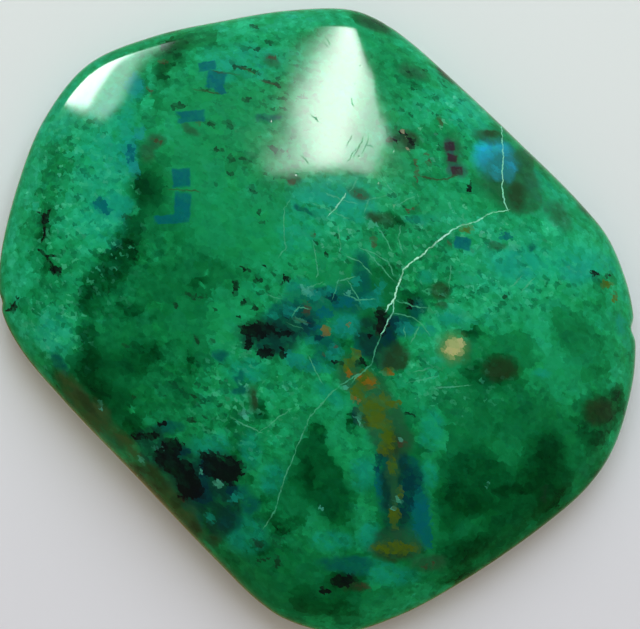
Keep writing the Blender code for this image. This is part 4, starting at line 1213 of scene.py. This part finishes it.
def broad_lamp():
    """One broad soft lamp a metre away, from over the far side of the table. The polish doesn't show it."""
    toward = Vector(KEY_WAY).normalized()
    across = Vector((0, 0, 1)).cross(toward).normalized()
    radiance = KEY_LIGHT / KEY_SIZE**2
    up = toward.cross(across)
    lamp = area_light("broad lamp", KEY_SIZE, KEY_SIZE, toward, across, up, radiance, KEY_COLOUR)
    lamp.visible_glossy = False


def room_glow():
    """An even glow from all round. The polish shows a dim room instead, lighter toward the windows."""
    world = bpy.data.worlds.new("studio")
    world.use_nodes = True
    bpy.context.scene.world = world
    tree = Tree(world.node_tree)
    way = tree.node("ShaderNodeTexCoord").outputs["Generated"]
    rise = tree.math("MULTIPLY_ADD", tree.parts(way)["Z"], 0.5, 0.5)
    lit = colour_ramp(tree, rise, [(0.5 + height / 2, colour) for height, colour in ROOM])
    level_way = tree.vector("NORMALIZE", tree.vector("MULTIPLY", way, (1.0, 1.0, 0.0)))
    toward_windows = tree.vector("DOT_PRODUCT", level_way, LIT_SIDE)
    lit_share = step_between(tree, toward_windows, -AWAY_TURN, AWAY_TURN)
    away = painted(tree, 1.0, lit, AWAY_TINT, "MULTIPLY")
    room = tree.node("ShaderNodeBackground", painted(tree, lit_share, away, lit), 1.0)
    glow = world.node_tree.nodes["Background"]
    tree.fill(glow.inputs["Color"], linear(GLOW[0]))
    tree.fill(glow.inputs["Strength"], GLOW[1])
    polish_only = tree.node("ShaderNodeLightPath").outputs["Is Glossy Ray"]
    either = tree.node("ShaderNodeMixShader", polish_only, glow.outputs[0], room.outputs[0])
    tree.fill(world.node_tree.nodes["World Output"].inputs["Surface"], either.outputs[0])


def camera():
    azimuth, elevation = math.radians(CAMERA_AZIMUTH), math.radians(CAMERA_ELEVATION)
    back = Vector((
        math.sin(azimuth) * math.cos(elevation), -math.cos(azimuth) * math.cos(elevation), math.sin(elevation)
    ))
    distance = CAMERA_LENS * VIEW_WIDTH / CAMERA_SENSOR
    rightward = (-back).cross(Vector((0, 1, 0))).normalized()
    up = back.cross(rightward)
    lens = bpy.data.cameras.new("camera")
    lens.lens = CAMERA_LENS
    lens.sensor_width = CAMERA_SENSOR
    lens.sensor_fit = "HORIZONTAL"
    lens.clip_start, lens.clip_end = CAMERA_CLIP
    viewer = bpy.data.objects.new("camera", lens)
    bpy.context.scene.collection.objects.link(viewer)
    turned = Matrix((rightward, up, back)).transposed().to_4x4()
    viewer.matrix_world = Matrix.Translation((CAMERA_TARGET + back * distance) * MM) @ turned
    bpy.context.scene.camera = viewer


def main():
    bpy.context.scene.view_settings.view_transform = "Standard"
    stone = polished_stone(stone_finish())
    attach(stone, "root")
    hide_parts("polished_stone")
    table()
    window_lights()
    broad_lamp()
    room_glow()
    camera()


main()
